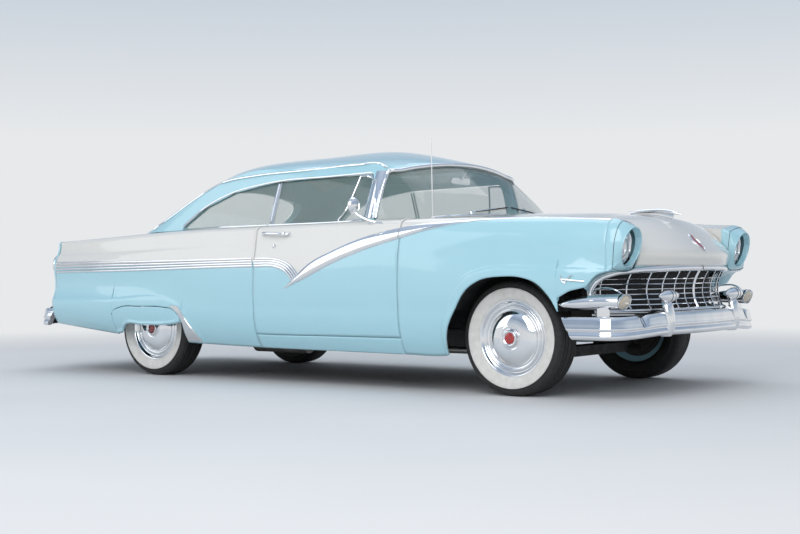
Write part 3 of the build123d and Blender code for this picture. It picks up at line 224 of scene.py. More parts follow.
def ease(t):
    """Goes smoothly from 0 to 1, as t does."""
    t = clamp(t)
    return t * t * (3 - 2 * t)


def side_step(x, z):
    """How far the styled surface stands out from the plain one, at the flare and at the two creases."""
    blend = .01
    inside_flare = ease((top_of(FLARE, x) - z) / blend + .5)
    near_arch = clamp((x - 1.293) / .02)
    below = ease((top_of(REAR_CREASE, x) - z) / blend + .5)
    fade = clamp((-.169 - x) / .35)
    over = ease(clamp((z - height(UPPER_CREASE, x)) / .012 + .5) * fade)
    return .01 * inside_flare * near_arch + .008 * below - .006 * over


def side_profile(x):
    """The body side's section at x: evenly spaced y and z, from the sill to the inner edge."""
    p = smooth_rows(SIDE, x)[0, 1:].reshape(-1, 2)
    sill, low, crease, tuck, foot, head, shoulder, crown, belt, inner = p
    raw = np.vstack([
        arc_points(sill, low, crease, 30)[:-1],
        arc_points(crease, tuck, foot, 20)[:-1],
        np.linspace(foot, head, 8)[:-1],
        arc_points(head, shoulder, crown, 20)[:-1],
        np.linspace(crown, belt, 5)[:-1],
        np.linspace(belt, inner, 16),
    ])
    even = soften(evenly(raw, 220), 6)
    out = even.copy()
    out[:, 0] += side_step(np.full(len(even), x), even[:, 1]) * (even[:, 0] > .86)
    return out


profile_cache = {}


def cached_profile(x):
    """The section at x, worked out once for each tenth of a millimetre."""
    key = round(float(x), 4)
    if key not in profile_cache:
        profile_cache[key] = side_profile(key)
    return profile_cache[key]


def side_y(x, z):
    """The body side's half width at a place, up to its crown."""
    p = cached_profile(x)
    top = int(np.argmax(p[:, 1]))
    return float(np.interp(z, p[:top + 1, 1], p[:top + 1, 0]))


# Building meshes


def new_object(name, verts, faces, materials, picks=None, sharp=35):
    """An object with smooth faces and sharp edges where its faces meet at more than an angle."""
    mesh = bpy.data.meshes.new(name)
    points = [tuple(v) for v in np.asarray(verts, float)]
    mesh.from_pydata(points, [], [tuple(int(i) for i in f) for f in faces])
    for material in materials:
        mesh.materials.append(material)
    if picks is not None:
        mesh.polygons.foreach_set("material_index", np.asarray(picks, dtype=np.int32))
    mesh.polygons.foreach_set("use_smooth", np.ones(len(mesh.polygons), dtype=bool))
    mesh.update()
    mesh.set_sharp_from_angle(angle=math.radians(sharp))
    obj = bpy.data.objects.new(name, mesh)
    scene.collection.objects.link(obj)
    return obj


def grid_faces(rows, columns, close_rows=False, close_columns=False, flip=False):
    """The faces of a grid of points, closed or open both ways."""
    faces = []
    for i in range(rows if close_rows else rows - 1):
        for j in range(columns if close_columns else columns - 1):
            a = i * columns + j
            b = i * columns + (j + 1) % columns
            c = ((i + 1) % rows) * columns + (j + 1) % columns
            d = ((i + 1) % rows) * columns + j
            faces.append((d, c, b, a) if flip else (a, b, c, d))
    return faces


class Build:
    """Collects meshes that make one piece, each with its material's number."""

    def __init__(self):
        self.verts = []
        self.faces = []
        self.picks = []

    def add(self, verts, faces, pick=0):
        """Adds points and the faces between them."""
        start = len(self.verts)
        self.verts.extend(np.asarray(verts, float).reshape(-1, 3).tolist())
        self.faces.extend([tuple(start + i for i in f) for f in faces])
        self.picks.extend([pick] * len(faces) if np.isscalar(pick) else list(pick))

    def face(self, loop, step=1):
        """Adds one face round a loop, with a step of -1 the other way round."""
        self.add(loop, [tuple(range(len(loop)))[::step]])

    def grid(self, points, pick=0, **kind):
        """Adds a sheet through rows of points."""
        points = np.asarray(points, float)
        rows, columns = points.shape[:2]
        self.add(points.reshape(-1, 3), grid_faces(rows, columns, **kind), pick)

    def tube(self, path, half_wide, half_high, sides=10, up=(0, 0, 1), pick=0, closed=False, cap=True):
        """A tube of elliptical section along a path; its sizes may vary along it."""
        path = np.asarray(path, float)
        count = len(path)
        wide = np.broadcast_to(half_wide, count)
        high = np.broadcast_to(half_high, count)
        if closed:
            along = np.roll(path, -1, 0) - np.roll(path, 1, 0)
        else:
            along = np.gradient(path, axis=0)
        along /= np.linalg.norm(along, axis=1)[:, None]
        ups = np.broadcast_to(np.asarray(up, float), (count, 3))
        across = np.cross(along, ups)
        across /= np.maximum(np.linalg.norm(across, axis=1)[:, None], 1e-9)
        over = np.cross(across, along)
        t = turns(sides)
        ring = (
            path[:, None]
            + across[:, None] * (wide[:, None] * np.cos(t))[..., None]
            + over[:, None] * (high[:, None] * np.sin(t))[..., None]
        )
        start = len(self.verts)
        self.grid(ring, pick, close_columns=True, close_rows=closed, flip=True)
        if cap and not closed:
            self.faces.append(tuple(start + i for i in range(sides)))
            self.faces.append(tuple(start + (count - 1) * sides + i for i in reversed(range(sides))))
            self.picks.extend([pick, pick])

    def spin(self, outline, centre, steps=96, pick=0, along="y"):
        """Turns an outline about an axis along Y or X; it holds the places along the axis and the radii."""
        place, r = np.asarray(outline, float).T
        x, y, z = centre
        t = turns(steps)[:, None]
        if along == "y":
            ring = xyz(x + np.sin(t) * r, y + place, z + np.cos(t) * r)
        else:
            ring = xyz(x + place, y + np.cos(t) * r, z + np.sin(t) * r)
        self.grid(ring, pick if np.isscalar(pick) else np.tile(pick, steps), close_rows=True)

    def make(self, name, materials, mirror=False, sharp=35):
        """Makes the object, or its mirror image."""
        verts = np.asarray(self.verts, float)
        faces = self.faces
        if mirror:
            verts = verts * (1, -1, 1)
            faces = [tuple(reversed(f)) for f in faces]
        return new_object(name, verts, faces, materials, self.picks, sharp)


def thicken(obj, depth):
    """Gives a sheet its depth, behind its face."""
    sheet = obj.modifiers.new("sheet", "SOLIDIFY")
    sheet.thickness = depth
    sheet.offset = -1.0
    sheet.use_even_offset = False


def one(build, name, materials, *replaced, body="body", slot="chrome", sharp=35, edge=0, flip=False):
    """Makes a piece with its materials and says what it rides on and which nodes it stands for; the slot it
    is given is not used.
    """
    piece = build.make(name, materials, mirror=flip, sharp=sharp)
    if edge:
        thicken(piece, edge)
    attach(piece, body)
    if replaced:
        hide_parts(*replaced)
    return piece


def both(build, name, materials, *replaced, body="body", **kind):
    """Makes the left piece and its mirror image."""
    for side, flip in (("l", False), ("r", True)):
        rides = body if isinstance(body, str) else body[side]
        stands_for = [r.format(side=side) for r in replaced]
        one(build, f"{name}_{side}", materials, *stands_for, body=rides, flip=flip, **kind)


def to_right(half):
    """Carries a line from its left end to the centre plane on to its right end."""
    return np.vstack([half, half[-2::-1] * (1, -1, 1)])


# Materials


def put(node, **values):
    """Sets a node's inputs; an underscore stands for a space in a name."""
    for name, value in values.items():
        node.inputs[name.replace("_", " ")].default_value = value


def noise(tree, scale, detail=3.0):
    """A noise over the object's own coordinates."""
    where = tree.nodes.new("ShaderNodeTexCoord")
    grain = tree.nodes.new("ShaderNodeTexNoise")
    put(grain, Scale=scale, Detail=detail)
    tree.links.new(where.outputs["Object"], grain.inputs["Vector"])
    return grain.outputs["Fac"]


def vary(tree, scale, low, high, target):
    """Drives a colour or a value between two ends by a noise of some scale."""
    factor = noise(tree, scale)
    if isinstance(low, (int, float)):
        ramp = tree.nodes.new("ShaderNodeMapRange")
        put(ramp, From_Min=.3, From_Max=.7, To_Min=low, To_Max=high)
        tree.links.new(factor, ramp.inputs["Value"])
        tree.links.new(ramp.outputs["Result"], target)
    else:
        ramp = tree.nodes.new("ShaderNodeValToRGB")
        for stop, place, colour in zip(ramp.color_ramp.elements, (.3, .7), (low, high)):
            stop.position = place
            stop.color = (*colour, 1)
        tree.links.new(factor, ramp.inputs["Fac"])
        tree.links.new(ramp.outputs["Color"], target)


def bumps(tree, shader, grain, strength, distance):
    """Tilts a finish's normals by a noise."""
    bump = tree.nodes.new("ShaderNodeBump")
    put(bump, Strength=strength, Distance=distance)
    tree.links.new(grain, bump.inputs["Height"])
    tree.links.new(bump.outputs["Normal"], shader.inputs["Normal"])


def finish(name, low, high, rough, scales, **values):
    """A material whose colour and roughness vary a little, with the scales of both, and its shader."""
    material = bpy.data.materials.new(name)
    material.use_nodes = True
    tree = material.node_tree
    shader = tree.nodes["Principled BSDF"]
    vary(tree, scales[0], low, high, shader.inputs["Base Color"])
    vary(tree, scales[1], *rough, shader.inputs["Roughness"])
    put(shader, **values)
    return material, tree, shader


def paint(name, low, high, rough=(.24, .27), coat=1.0):
    """A gloss enamel."""
    gloss = {"Coat_Weight": coat, "Coat_Roughness": .04, "Specular_IOR_Level": .45}
    material, tree, shader = finish(name, low, high, rough, (2.5, 4.0), **gloss)
    bumps(tree, shader, noise(tree, 300.0, 1.0), .015, .0003)
    return material


def metal(name, low, high, rough, wave=.02):
    """A bare or plated metal."""
    material, tree, shader = finish(name, low, high, rough, (9.0, 40.0), Metallic=1.0)
    bumps(tree, shader, noise(tree, 7.0, 1.0), wave, .01)
    return material


def matt(name, low, high, rough, scale=30.0, bump=.2, depth=.002):
    """A dull finish with a grain."""
    material, tree, shader = finish(name, low, high, rough, (scale, scale * 2))
    bumps(tree, shader, noise(tree, scale * 6), bump, depth)
    return material


def clear(name, low, high, alpha, rough=.02):
    """Glass or a lens."""
    gloss = {"IOR": 1.6, "Specular_IOR_Level": 1.0, "Coat_Weight": 1.0, "Coat_Roughness": .02}
    return finish(name, low, high, (rough, rough + .02), (3.0, 25.0), Alpha=alpha, **gloss)[0]


BLUE = paint("sky_blue_enamel", (.372, .64, .722), (.38, .648, .73))
WHITE = paint("grey_white_enamel", (.7, .688, .65), (.71, .698, .66))
CHROME = metal("bright_chrome", (.78, .79, .81), (.86, .87, .88), (.035, .075))
STEEL = metal("dull_steel", (.3, .29, .28), (.42, .4, .38), (.35, .55), .1)
BLACK = matt("chassis_black", (.01, .01, .011), (.03, .029, .028), (.45, .75), 18.0)
IRON = matt("cast_iron", (.035, .034, .033), (.075, .07, .065), (.5, .8), 60.0, .5)
RUBBER = matt("tyre_black", (.012, .012, .012), (.026, .025, .024), (.55, .8), 60.0, .25, .001)
WHITEWALL = matt("tyre_white", (.64, .62, .58), (.74, .725, .69), (.5, .65), 25.0, .1, .0008)
GLASS = clear("tinted_glass", (.3, .42, .38), (.34, .46, .42), .2)
LENS = clear("lamp_glass", (.75, .76, .75), (.85, .86, .85), .35)
RED = clear("red_glass", (.45, .01, .008), (.6, .02, .012), .92, .05)
AMBER = clear("parking_lens", (.62, .52, .36), (.72, .62, .46), .85, .05)
VINYL = matt("pale_vinyl", (.5, .56, .55), (.6, .65, .63), (.38, .5), 90.0, .3, .0012)
CLOTH = matt("seat_cloth", (.22, .36, .37), (.3, .44, .45), (.75, .9), 220.0, .5, .0012)
SHIELD = metal("bright_shield", (.7, .71, .72), (.8, .81, .82), (.12, .2))
IVORY = paint("ivory_plastic", (.56, .59, .56), (.58, .61, .58), (.25, .35), .5)
LINER = matt("headliner", (.42, .52, .5), (.48, .58, .55), (.7, .85), 160.0, .2)
DASH = paint("dash_enamel", (.13, .33, .37), (.15, .36, .4), (.35, .45), .4)
REDPAINT = paint("hub_red", (.3, .012, .01), (.42, .02, .016))
# Near-black for seals, seams, wiper blades, dial faces, brackets and the bumpers' backs, and also for the
# sheet of painted shade behind the grille.
DARK_AND_PAINTED_SHADE = matt("black_parts_and_painted_shade", (.006, .006, .006), (.014, .014, .014), (.6, .8), 40.0)

# Body side: rows of the skins below and above the line between the colours
BELOW = 34
ABOVE = 44


def side_grid(xs, low, split, below=BELOW, above=ABOVE):
    """A skin over the stations xs, from the heights low up to the inner edge, with a row along split."""
    points = []
    for x, z_low, z_split in zip(xs, low, split):
        p = cached_profile(x)
        steps = np.linalg.norm(np.diff(p, axis=0), axis=1)
        along = np.concatenate([[0], np.cumsum(steps)])
        top = int(np.argmax(p[:, 1])) + 1
        s_low = np.interp(z_low, p[:top, 1], along[:top])
        s_split = max(np.interp(z_split, p[:top, 1], along[:top]), s_low + .01)
        s = np.concatenate([np.linspace(s_low, s_split, below), np.linspace(s_split, along[-1], above)[1:]])
        y, z = (np.interp(s, along, p[:, k]) for k in (0, 1))
        points.append(xyz(x, y, z))
    return np.array(points)


def stations(x0, x1, step, dense=()):
    """Places along the car, closer together round the ends of an arch."""
    xs = list(np.linspace(x0, x1, max(2, int(round((x1 - x0) / step)) + 1)))
    for centre, reach, count in dense:
        xs += list(np.linspace(centre - reach, centre + reach, count))
    return np.unique(np.round(np.clip(xs, x0, x1), 4))


def split_height(xs):
    """Where the white above meets the blue below."""
    ribs = (height(RIB_TOP, xs) + height(RIB_FOOT, xs)) / 2
    spear = (height(SPEAR_TOP, xs) + height(SPEAR_FOOT, xs)) / 2
    return np.where(xs < .196, ribs, spear)


def skin(name, xs, low, body, replaced):
    """The left and right skins of a panel, blue under the trim and white over it."""
    points = side_grid(xs, low, split_height(xs))
    picks = np.where(np.arange(points.shape[1] - 1) < BELOW - 1, 0, 1)
    build = Build()
    build.grid(points, np.tile(picks, len(xs) - 1))
    both(build, name, [BLUE, WHITE], replaced, body=body, slot="blue_paint", sharp=60, edge=.014)


def build_sides():
    """Doors, front fenders, rear quarters, rockers and the rear wheels' skirts."""
    xs = stations(DOOR_REAR_X + GAP, DOOR_FRONT_X - GAP, .016)
    skin("door_skin", xs, smooth_rows(SIDE, xs)[:, LOW_Z], DOORS, "door_{side}")
    dense = [(1.321, .02, 40), (2.071, .02, 24), (1.371, .04, 20)]
    xs = stations(DOOR_FRONT_X + GAP, FENDER_FRONT_X, .016, dense)
    arch = np.maximum(smooth_rows(SIDE, xs)[:, SILL_Z], top_of(FRONT_ARCH, xs))
    notch = np.interp(xs, NOTCH[:, 0], NOTCH[:, 1], left=-1)
    skin("front_fender", xs, np.maximum(arch, notch), "body", "front_fenders")
    xs = stations(TAIL_X, DOOR_REAR_X - GAP, .016, [(-1.496, .014, 30), (-.804, .014, 30)])
    arch = np.maximum(smooth_rows(SIDE, xs)[:, SILL_Z], top_of(REAR_ARCH, xs))
    skin("rear_quarter", xs, arch, "body", "quarter_panels")
    xs = stations(DOOR_REAR_X - GAP, DOOR_FRONT_X + GAP, .03)
    rows = smooth_rows(SIDE, xs)
    rocker = Build()
    rocker.grid(side_grid(xs, rows[:, SILL_Z], rows[:, LOW_Z] - .006, 12, 2)[:, :12])
    both(rocker, "rocker_panel", [BLUE], "rockers", slot="blue_paint", edge=.03)
    build_skirts()
    build_door_insides()


def build_skirts():
    """The panels over the rear wheels, with a bead along their lips."""
    xs = stations(-1.5025, -.799, .012, [(-1.496, .01, 16), (-.804, .008, 16)])
    lip = height(SKIRT_LIP, xs)
    top = np.maximum(top_of(REAR_ARCH, xs) - .005, lip + .004)
    points = []
    for x, z0, z1 in zip(xs, lip, top):
        z = np.linspace(z0, z1, 24)
        y = np.array([side_y(x, v) for v in z])
        bead = .01 * np.exp(-((z - z0 - .012) / .01) ** 2)
        points.append(xyz(x, y + bead + .002, z))
    build = Build()
    build.grid(points)
    both(build, "wheel_skirt", [BLUE], "fender_skirts", slot="blue_paint", edge=.02)


def build_door_insides():
    """The doors' inner walls, tops and ends."""
    xs = stations(DOOR_REAR_X + GAP, DOOR_FRONT_X - GAP, .05)
    rows = smooth_rows(SIDE, xs)
    points = []
    for x, row in zip(xs, rows):
        wall = DOOR_INNER_Y if x < .66 else .848
        top = row[INNER_Z] - .002
        foot = row[LOW_Z]
        points.append([(x, row[INNER_Y], top), (x, wall, top - .004), (x, wall, .62), (x, wall, foot + .004),
                       (x, row[LOW_Y] - .004, foot + .001)])
    build = Build()
    build.grid(points)
    for end, step in ((0, 1), (-1, -1)):
        p = cached_profile(xs[end])
        keep = p[(p[:, 1] >= rows[end][LOW_Z])]
        loop = [(xs[end], y - .003, z) for y, z in keep] + points[end]
        build.face(loop, step)
    both(build, "door_lining", [VINYL], body=DOORS, slot="seat_trim", sharp=30)


# Bonnet and boot lid

LID_LAP = .003
bonnet_mesh = []


def fan(table, half, count, columns):
    """A skin across the car through the rows of a table, arched between its edges."""
    dense = through(table, count)
    v = np.linspace(-1, 1, columns)
    lift = (1 - np.abs(v) ** 2.2)[None, :]
    x = dense[:, 2:3] + (dense[:, 0:1] - dense[:, 2:3]) * lift
    z = dense[:, 3:4] + (dense[:, 1:2] - dense[:, 3:4]) * lift
    return xyz(x, v * half, z)


def build_lids():
    """The skins of the bonnet and the boot lid."""
    bonnet = Build()
    bonnet.grid(fan(HOOD, HOOD_HALF + LID_LAP, 120, 61), flip=True)
    bonnet_mesh.extend([[Vector(v) for v in bonnet.verts], bonnet.faces])
    one(bonnet, "bonnet_skin", [WHITE], "hood", body="bonnet", slot="white_paint", sharp=60, edge=.016)
    boot = Build()
    boot.grid(fan(DECK, DECK_HALF + LID_LAP, 80, 51))
    one(boot, "boot_skin", [WHITE], "deck_lid", body="boot_lid", slot="white_paint", sharp=60, edge=.016)


# Wheels: outlines of half width and radius

TREAD_RADIUS = .325
WALL = through([
    (.078, .213), (.09, .226), (.099, .25), (.1025, .27), (.1015, .281), (.098, .284), (.092, .303),
    (.083, .316), (.07, .3235),
], 40)
COVER = [
    (.075, .2185), (.081, .219), (.083, .215), (.081, .209), (.074, .203), (.068, .198), (.064, .19),
    (.066, .186), (.071, .1835), (.074, .18), (.071, .1765), (.066, .174), (.063, .168), (.064, .16),
    (.068, .156), (.073, .153), (.075, .149), (.078, .144), (.086, .13), (.092, .113), (.0965, .093),
    (.099, .076), (.1, .064), (.0985, .059), (.099, .054), (.104, .05), (.112, .047), (.117, .044),
    (.118, .04), (.116, .035), (.113, .031),
]
HUB_RED = [(.113, .031), (.115, .027), (.1165, .018), (.117, .009), (.1172, .0005)]
BEAD = [(.082, .2178), (.079, .2192), (.075, .22), (.07, .2185), (.068, .21)]
BARREL = [(.068, .205), (.05, .182), (-.05, .178), (-.066, .2), (-.074, .219), (-.078, .219)]
DRUM = [(-.03, .178), (-.03, .148), (-.045, .145), (-.045, .03)]


def tyre_outline():
    """Round a tyre from the outer bead over the grooved tread to the inner bead."""
    r = TREAD_RADIUS
    grooves = []
    for y in (.052, .022, -.022, -.052):
        grooves += [(y + .0035, r), (y + .003, r - .007), (y - .003, r - .007), (y - .0035, r)]
    return np.vstack([WALL, grooves, WALL[::-1] * (-1, 1)])


def build_wheels():
    """Tyres with white walls, and covers over the wheels."""
    outline = tyre_outline()
    middle = (outline[:-1] + outline[1:]) / 2
    white = np.where((middle[:, 1] < .2815) & (middle[:, 0] > 0), 1, 0)
    parts = ((through(COVER, 150), 120, 0), (HUB_RED, 48, 1), (BEAD, 120, 2), (BARREL, 96, 2), (DRUM, 64, 3))
    for axle, x, track in (("front", FRONT_AXLE_X, FRONT_TRACK), ("rear", REAR_AXLE_X, REAR_TRACK)):
        for side, word in (("l", "left"), ("r", "right")):
            body = f"{axle}_{word}_wheel"
            name = f"{axle}_{side}"
            kind = {"body": body, "flip": side == "r"}
            centre = (x, track / 2, AXLE_Z)
            tyre = Build()
            tyre.spin(outline, centre, 144, white)
            look = [RUBBER, WHITEWALL]
            one(tyre, f"tyre_{name}_rubber", look, f"tyre_{name}", slot="tyre_rubber", **kind)
            wheel = Build()
            for part, steps, pick in parts:
                wheel.spin(part, centre, steps, pick)
            look = [CHROME, REDPAINT, BLUE, IRON]
            one(wheel, f"wheel_{name}_cover", look, f"wheel_{name}", **kind)


# Places on the frame's own surfaces


def tree_of(*names):
    """A search tree over the meshes of some nodes."""
    verts = []
    faces = []
    for name in names:
        obj = nodes[name]
        start = len(verts)
        verts += [obj.matrix_world @ v.co for v in obj.data.vertices]
        faces += [tuple(start + i for i in p.vertices) for p in obj.data.polygons]
    return BVHTree.FromPolygons(verts, faces)


bpy.context.view_layer.update()
ROOF = tree_of("roof")
PANES = tree_of("door_glass_l", "rear_windows")
SCREEN = tree_of("windshield")


def from_side(tree, x, z, spare):
    """The half width at which a level ray from the left meets a surface."""
    place = tree.ray_cast(Vector((x, 1.3, z)), Vector((0, -1, 0)))[0]
    return place.y if place and place.y > 0 else spare


def from_end(tree, y, z, sign, spare):
    """The x at which a level ray from the front or the rear meets a surface."""
    place = tree.ray_cast(Vector((sign * 3.2, y, z)), Vector((-sign, 0, 0)))[0]
    return place.x if place else spare


def on_side(tree, points, lift, spare):
    """Puts x and z places on a surface of the frame, from the side."""
    return np.array([(x, from_side(tree, x, z, spare) + lift, z) for x, z in points])


def on_skin(points, lift):
    """Puts x and z places on the body's side."""
    return np.array([(x, side_y(x, z) + lift, z) for x, z in points])


# Bright trim along the side


def band(x0, x1, step, top, foot, height):
    """A raised moulding between two lines of the side, crowned towards its lower part."""
    xs = np.linspace(x0, x1, max(8, int((x1 - x0) / step)))
    z1 = np.interp(xs, top[:, 0], top[:, 1])
    z0 = np.interp(xs, foot[:, 0], foot[:, 1])
    across = np.array([0, .06, .18, .34, .5, .66, .8, .92, 1.0])
    lift = np.array([-.1, .45, .85, 1.0, .98, .82, .58, .32, -.1])
    rows = []
    for x, a, b in zip(xs, z0, z1):
        size = height * min(1.0, (b - a) / .045)
        z = a + (b - a) * across
        rows.append([(x, side_y(x, v) + size * h, v) for v, h in zip(z, lift)])
    return np.array(rows)


def build_spears():
    """The spear along the door and the front fender."""
    for name, body, x0, x1, step in (
        ("spear_door", DOORS, .1165, DOOR_FRONT_X - GAP, .01),
        ("spear_fender", "body", DOOR_FRONT_X + GAP, 2.318, .012),
    ):
        spear = Build()
        spear.grid(band(x0, x1, step, SPEAR_TOP, SPEAR_FOOT, .013))
        both(spear, name, [CHROME], body=body)


def build_ribs():
    """Four ribs along the quarter panel and on over the door."""
    on_door = Build()
    on_quarter = Build()
    for f in (.125, .375, .625, .875):
        line = RIB_FOOT * (1 - f) + RIB_TOP * f
        ahead = line[line[:, 0] > DOOR_REAR_X + GAP]
        behind = line[line[:, 0] < DOOR_REAR_X - GAP]
        on_door.tube(on_skin(ahead, .002), .0078, .0062, 10, ACROSS)
        on_quarter.tube(on_skin(behind, .002), .0078, .0062, 10, ACROSS)
    both(on_door, "ribs_door", [CHROME], body=DOORS)
    both(on_quarter, "ribs_quarter", [CHROME])


def build_gravel_shield():
    """The bright sheet between the rear wheel's skirt and the crease ahead of it."""
    shield = Build()
    rows = []
    for z in np.linspace(.25, .486, 28):
        rear = np.interp(z, [.25, .375, .408, .44, .462, .486], [-.795, -.793, -.808, -.832, -.862, -.905])
        front = np.interp(z, REAR_CREASE[::-1, 1], REAR_CREASE[::-1, 0]) - .006
        xs = np.linspace(min(rear, front - .004), front, 14)
        edge = np.minimum(np.linspace(0, 1, 14), np.linspace(1, 0, 14)) * 14
        rows.append([(x, side_y(x, z) + .0045 * min(1, e), z) for x, e in zip(xs, edge)])
    shield.grid(rows)
    both(shield, "gravel_shield", [SHIELD])


def build_badge():
    """A plain bar with two wings on the front fender."""
    badge = Build()
    bar = [(x, .655 - (x - 2.094) * .1) for x in np.linspace(2.1, 2.222, 12)]
    wings = [through([(2.118, .634), *wing], 10) for wing in (
        [(2.14, .661), (2.158, .676)], [(2.104, .65), (2.098, .674)],
    )]
    for line, half in ((bar, .0042), (wings[0], .004), (wings[1], .004)):
        badge.tube(on_skin(line, .004), half, .004, 8, ACROSS)
    both(badge, "fender_badge", [CHROME])


def build_roof():
    """The roof's shell, its crown a little flatter than the frame's."""
    obj = nodes["roof"]
    shell = Build()
    verts = np.array([obj.matrix_world @ v.co for v in obj.data.vertices])
    verts[:, 2] -= .026 * ease((verts[:, 2] - 1.375) / .155)
    shell.add(verts, [tuple(p.vertices) for p in obj.data.polygons])
    one(shell, "roof_shell", [BLUE], "roof", slot="blue_paint", sharp=32)


# Rails and edges over the side windows: x and z, then how many points, the lift and the half sizes.
ROOF_RAILS = (
    ([(-1.242, 1.009), (-1.088, 1.111), (-.838, 1.251), (-.596, 1.318), (-.362, 1.34), (.083, 1.354),
      (.5, 1.366), (.69, 1.36), (.735, 1.338)], 90, .004, .72, .0075, .01, 10),
    ([(-.93, 1.022), (-.757, 1.143), (-.518, 1.236), (-.287, 1.276), (-.108, 1.294), (.3, 1.302),
      (.64, 1.31)], 70, .001, .74, .007, .006, 8),
)
# The vent window's bars, in the same way.
VENT_BARS = (
    ([(.443, 1.02), (.484, 1.07), (.512, 1.14), (.532, 1.22), (.547, 1.292)], 24, .78, .0065),
    ([(.644, 1.024), (.652, 1.12), (.656, 1.23), (.652, 1.284)], 24, .78, .0065),
    ([(.547, 1.292), (.6, 1.293), (.646, 1.29)], 10, .75, .0055),
)
PILLAR_X = (.6735, .731)
PILLAR_FOOT_Z, PILLAR_BEND_Z, PILLAR_HEAD_Z = 1.026, 1.209, 1.318


def build_roof_rails():
    """The rails over the side windows."""
    rails = Build()
    for points, count, lift, spare, wide, high, sides in ROOF_RAILS:
        rails.tube(on_side(ROOF, through(points, count), lift, spare), wide, high, sides, ACROSS)
    both(rails, "roof_rail", [CHROME])


def build_screen_foot():
    """The moulding along the windscreen's foot."""
    foot = []
    for y in np.linspace(-.7, .7, 60):
        z = 1.052 - .03 * (abs(y) / .7) ** 2
        foot.append((from_end(SCREEN, y, z, 1, 1.28) + .004, y, z))
    build = Build()
    build.tube(np.array(foot), .007, .007, 8)
    one(build, "screen_foot", [CHROME])


def build_backlight_frame():
    """The moulding round the rear window."""
    build = Build()
    upper = [(y, 1.285 - (1.285 - 1.225) * (y / .5) ** 2 + .008) for y in np.linspace(0, .5, 24)]
    side = [tuple(p) for p in arc_points((.506, 1.228), (.597, 1.122), (.606, 1.04), 16)[1:]]
    half = np.array([(from_end(ROOF, y, z, -1, -1.2) - .003, y, z) for y, z in upper + side])
    build.tube(to_right(half[::-1]), .007, .009, 10)
    one(build, "backlight_frame", [CHROME])


def build_pillar_covers():
    """The bright cover of the windscreen pillar and the rounded bar along its front."""
    build = Build()
    rows = []
    for z in np.linspace(PILLAR_FOOT_Z, PILLAR_HEAD_Z, 30):
        lean = np.interp(z, [PILLAR_FOOT_Z, PILLAR_BEND_Z, PILLAR_HEAD_Z], [0, 0, -.002])
        xs = np.linspace(.673, .731, 12) + lean
        crown = .006 * np.sin(np.linspace(0, math.pi, 12))
        rows.append([(x, from_side(ROOF, min(max(x, PILLAR_X[0]), PILLAR_X[1]), z, .78) + .001 + h, z)
                     for x, h in zip(xs, crown)])
    build.grid(rows)
    zs = np.concatenate([np.linspace(1.024, 1.3, 26), [1.308, 1.314, PILLAR_HEAD_Z]])
    ys = np.array([from_side(ROOF, .728, min(z, 1.3), .75) - .01 for z in zs])
    ys -= np.concatenate([np.zeros(26), [.003, .01, .022]])
    xs = np.concatenate([np.full(26, .739), [.742, .748, .756]])
    build.tube(xyz(xs, ys, zs), .016, .013, 14, ACROSS)
    both(build, "pillar_cover", [CHROME])


def build_header():
    """The moulding over the windscreen, with its dark seal."""
    build = Build()
    half = []
    for y in np.linspace(0, .69, 44):
        z = 1.378 - (1.378 - 1.316) * (y / .64) ** 2 if y < .64 else np.interp(y, [.64, .7], [1.316, 1.312])
        half.append((from_end(ROOF, y, z + .008, 1, .87) + .003, y, z + .006))
    line = to_right(np.array(half)[::-1])
    build.tube(line, .009, .013, 14)
    build.tube(line + (.002, 0, -.02), .004, .005, 8, pick=1)
    one(build, "screen_header", [CHROME, DARK_AND_PAINTED_SHADE])


def build_glass_bars():
    """Belt mouldings, the bars at the ends of the side glass and the vent window's frame."""
    door = Build()
    quarter = Build()
    for build, x0, x1 in ((door, DOOR_REAR_X + GAP, .655), (quarter, -.925, DOOR_REAR_X - GAP)):
        xs = np.linspace(x0, x1, 40)
        belt = np.column_stack([xs, smooth_rows(SIDE, xs)[:, [INNER_Y, INNER_Z]] + (.002, .003)])
        build.tube(belt, .007, .0075, 8, ACROSS)
    bar = [(-.11, z) for z in np.linspace(1.01, 1.278, 14)]
    door.tube(on_side(PANES, bar, .002, .78), .0075, .007, 8, ACROSS)
    bar = [(-.1325, z) for z in np.linspace(1.012, 1.276, 14)]
    quarter.tube(on_side(PANES, bar, .002, .78), .007, .007, 8, ACROSS)
    for points, count, spare, wide in VENT_BARS:
        door.tube(on_side(PANES, through(points, count), .002, spare), wide, .006, 8, ACROSS)
    both(door, "door_bars", [CHROME], body=DOORS)
    both(quarter, "quarter_bars", [CHROME])


MIRROR = (.679, .955, 1.098)


def build_door_fittings():
    """The pull handle with its button, the lock and the mirror on its bent stem."""
    build = Build()
    xs = np.linspace(-.084, .131, 30)
    arch = np.sin(np.linspace(0, math.pi, 30)) ** .5
    build.tube(xyz(xs, .93 + .026 * arch, np.linspace(.95, .94, 30)), .0095, .0065, 12, ACROSS)
    for x in (-.078, .125):
        root = [(x, .908, .945), (x, .926, .945), (x, .938, .945)]
        build.tube(root, (.019, .016, .01), (.013, .011, .008), 16)
    build.spin([(.958, .0001), (.957, .01), (.95, .0125), (.925, .0125)], (.112, 0, .941), 24)
    build.spin([(.941, .0001), (.941, .006), (.938, .0125), (.93, .015), (.922, .0155)], (.016, 0, .868), 24)
    x, y, z = MIRROR
    head = [(x - .008, .0001), (x - .008, .046), (x - .004, .05), (x + .004, .05), (x + .018, .04),
            (x + .026, .024), (x + .03, .0001)]
    build.spin(head, (0, y, z), 40, along="x")
    stem = [(x + .01, y, 1.06), (x + .03, .95, 1.04), (x + .075, .925, 1.012), (x + .135, .903, .993)]
    build.tube(through(stem, 20), .0075, .0075)
    foot = through([(x + .08, .906, .988), (x + .135, .902, .996), (x + .18, .9, .986)], 16)
    build.tube(foot, .011, .006)
    both(build, "door_fittings", [CHROME], body=DOORS)


# The nose

LAMP_Y = .735
LAMP_Z = .8225
LAMP_RIM = .1085
HOOD_BULGE = 1.9


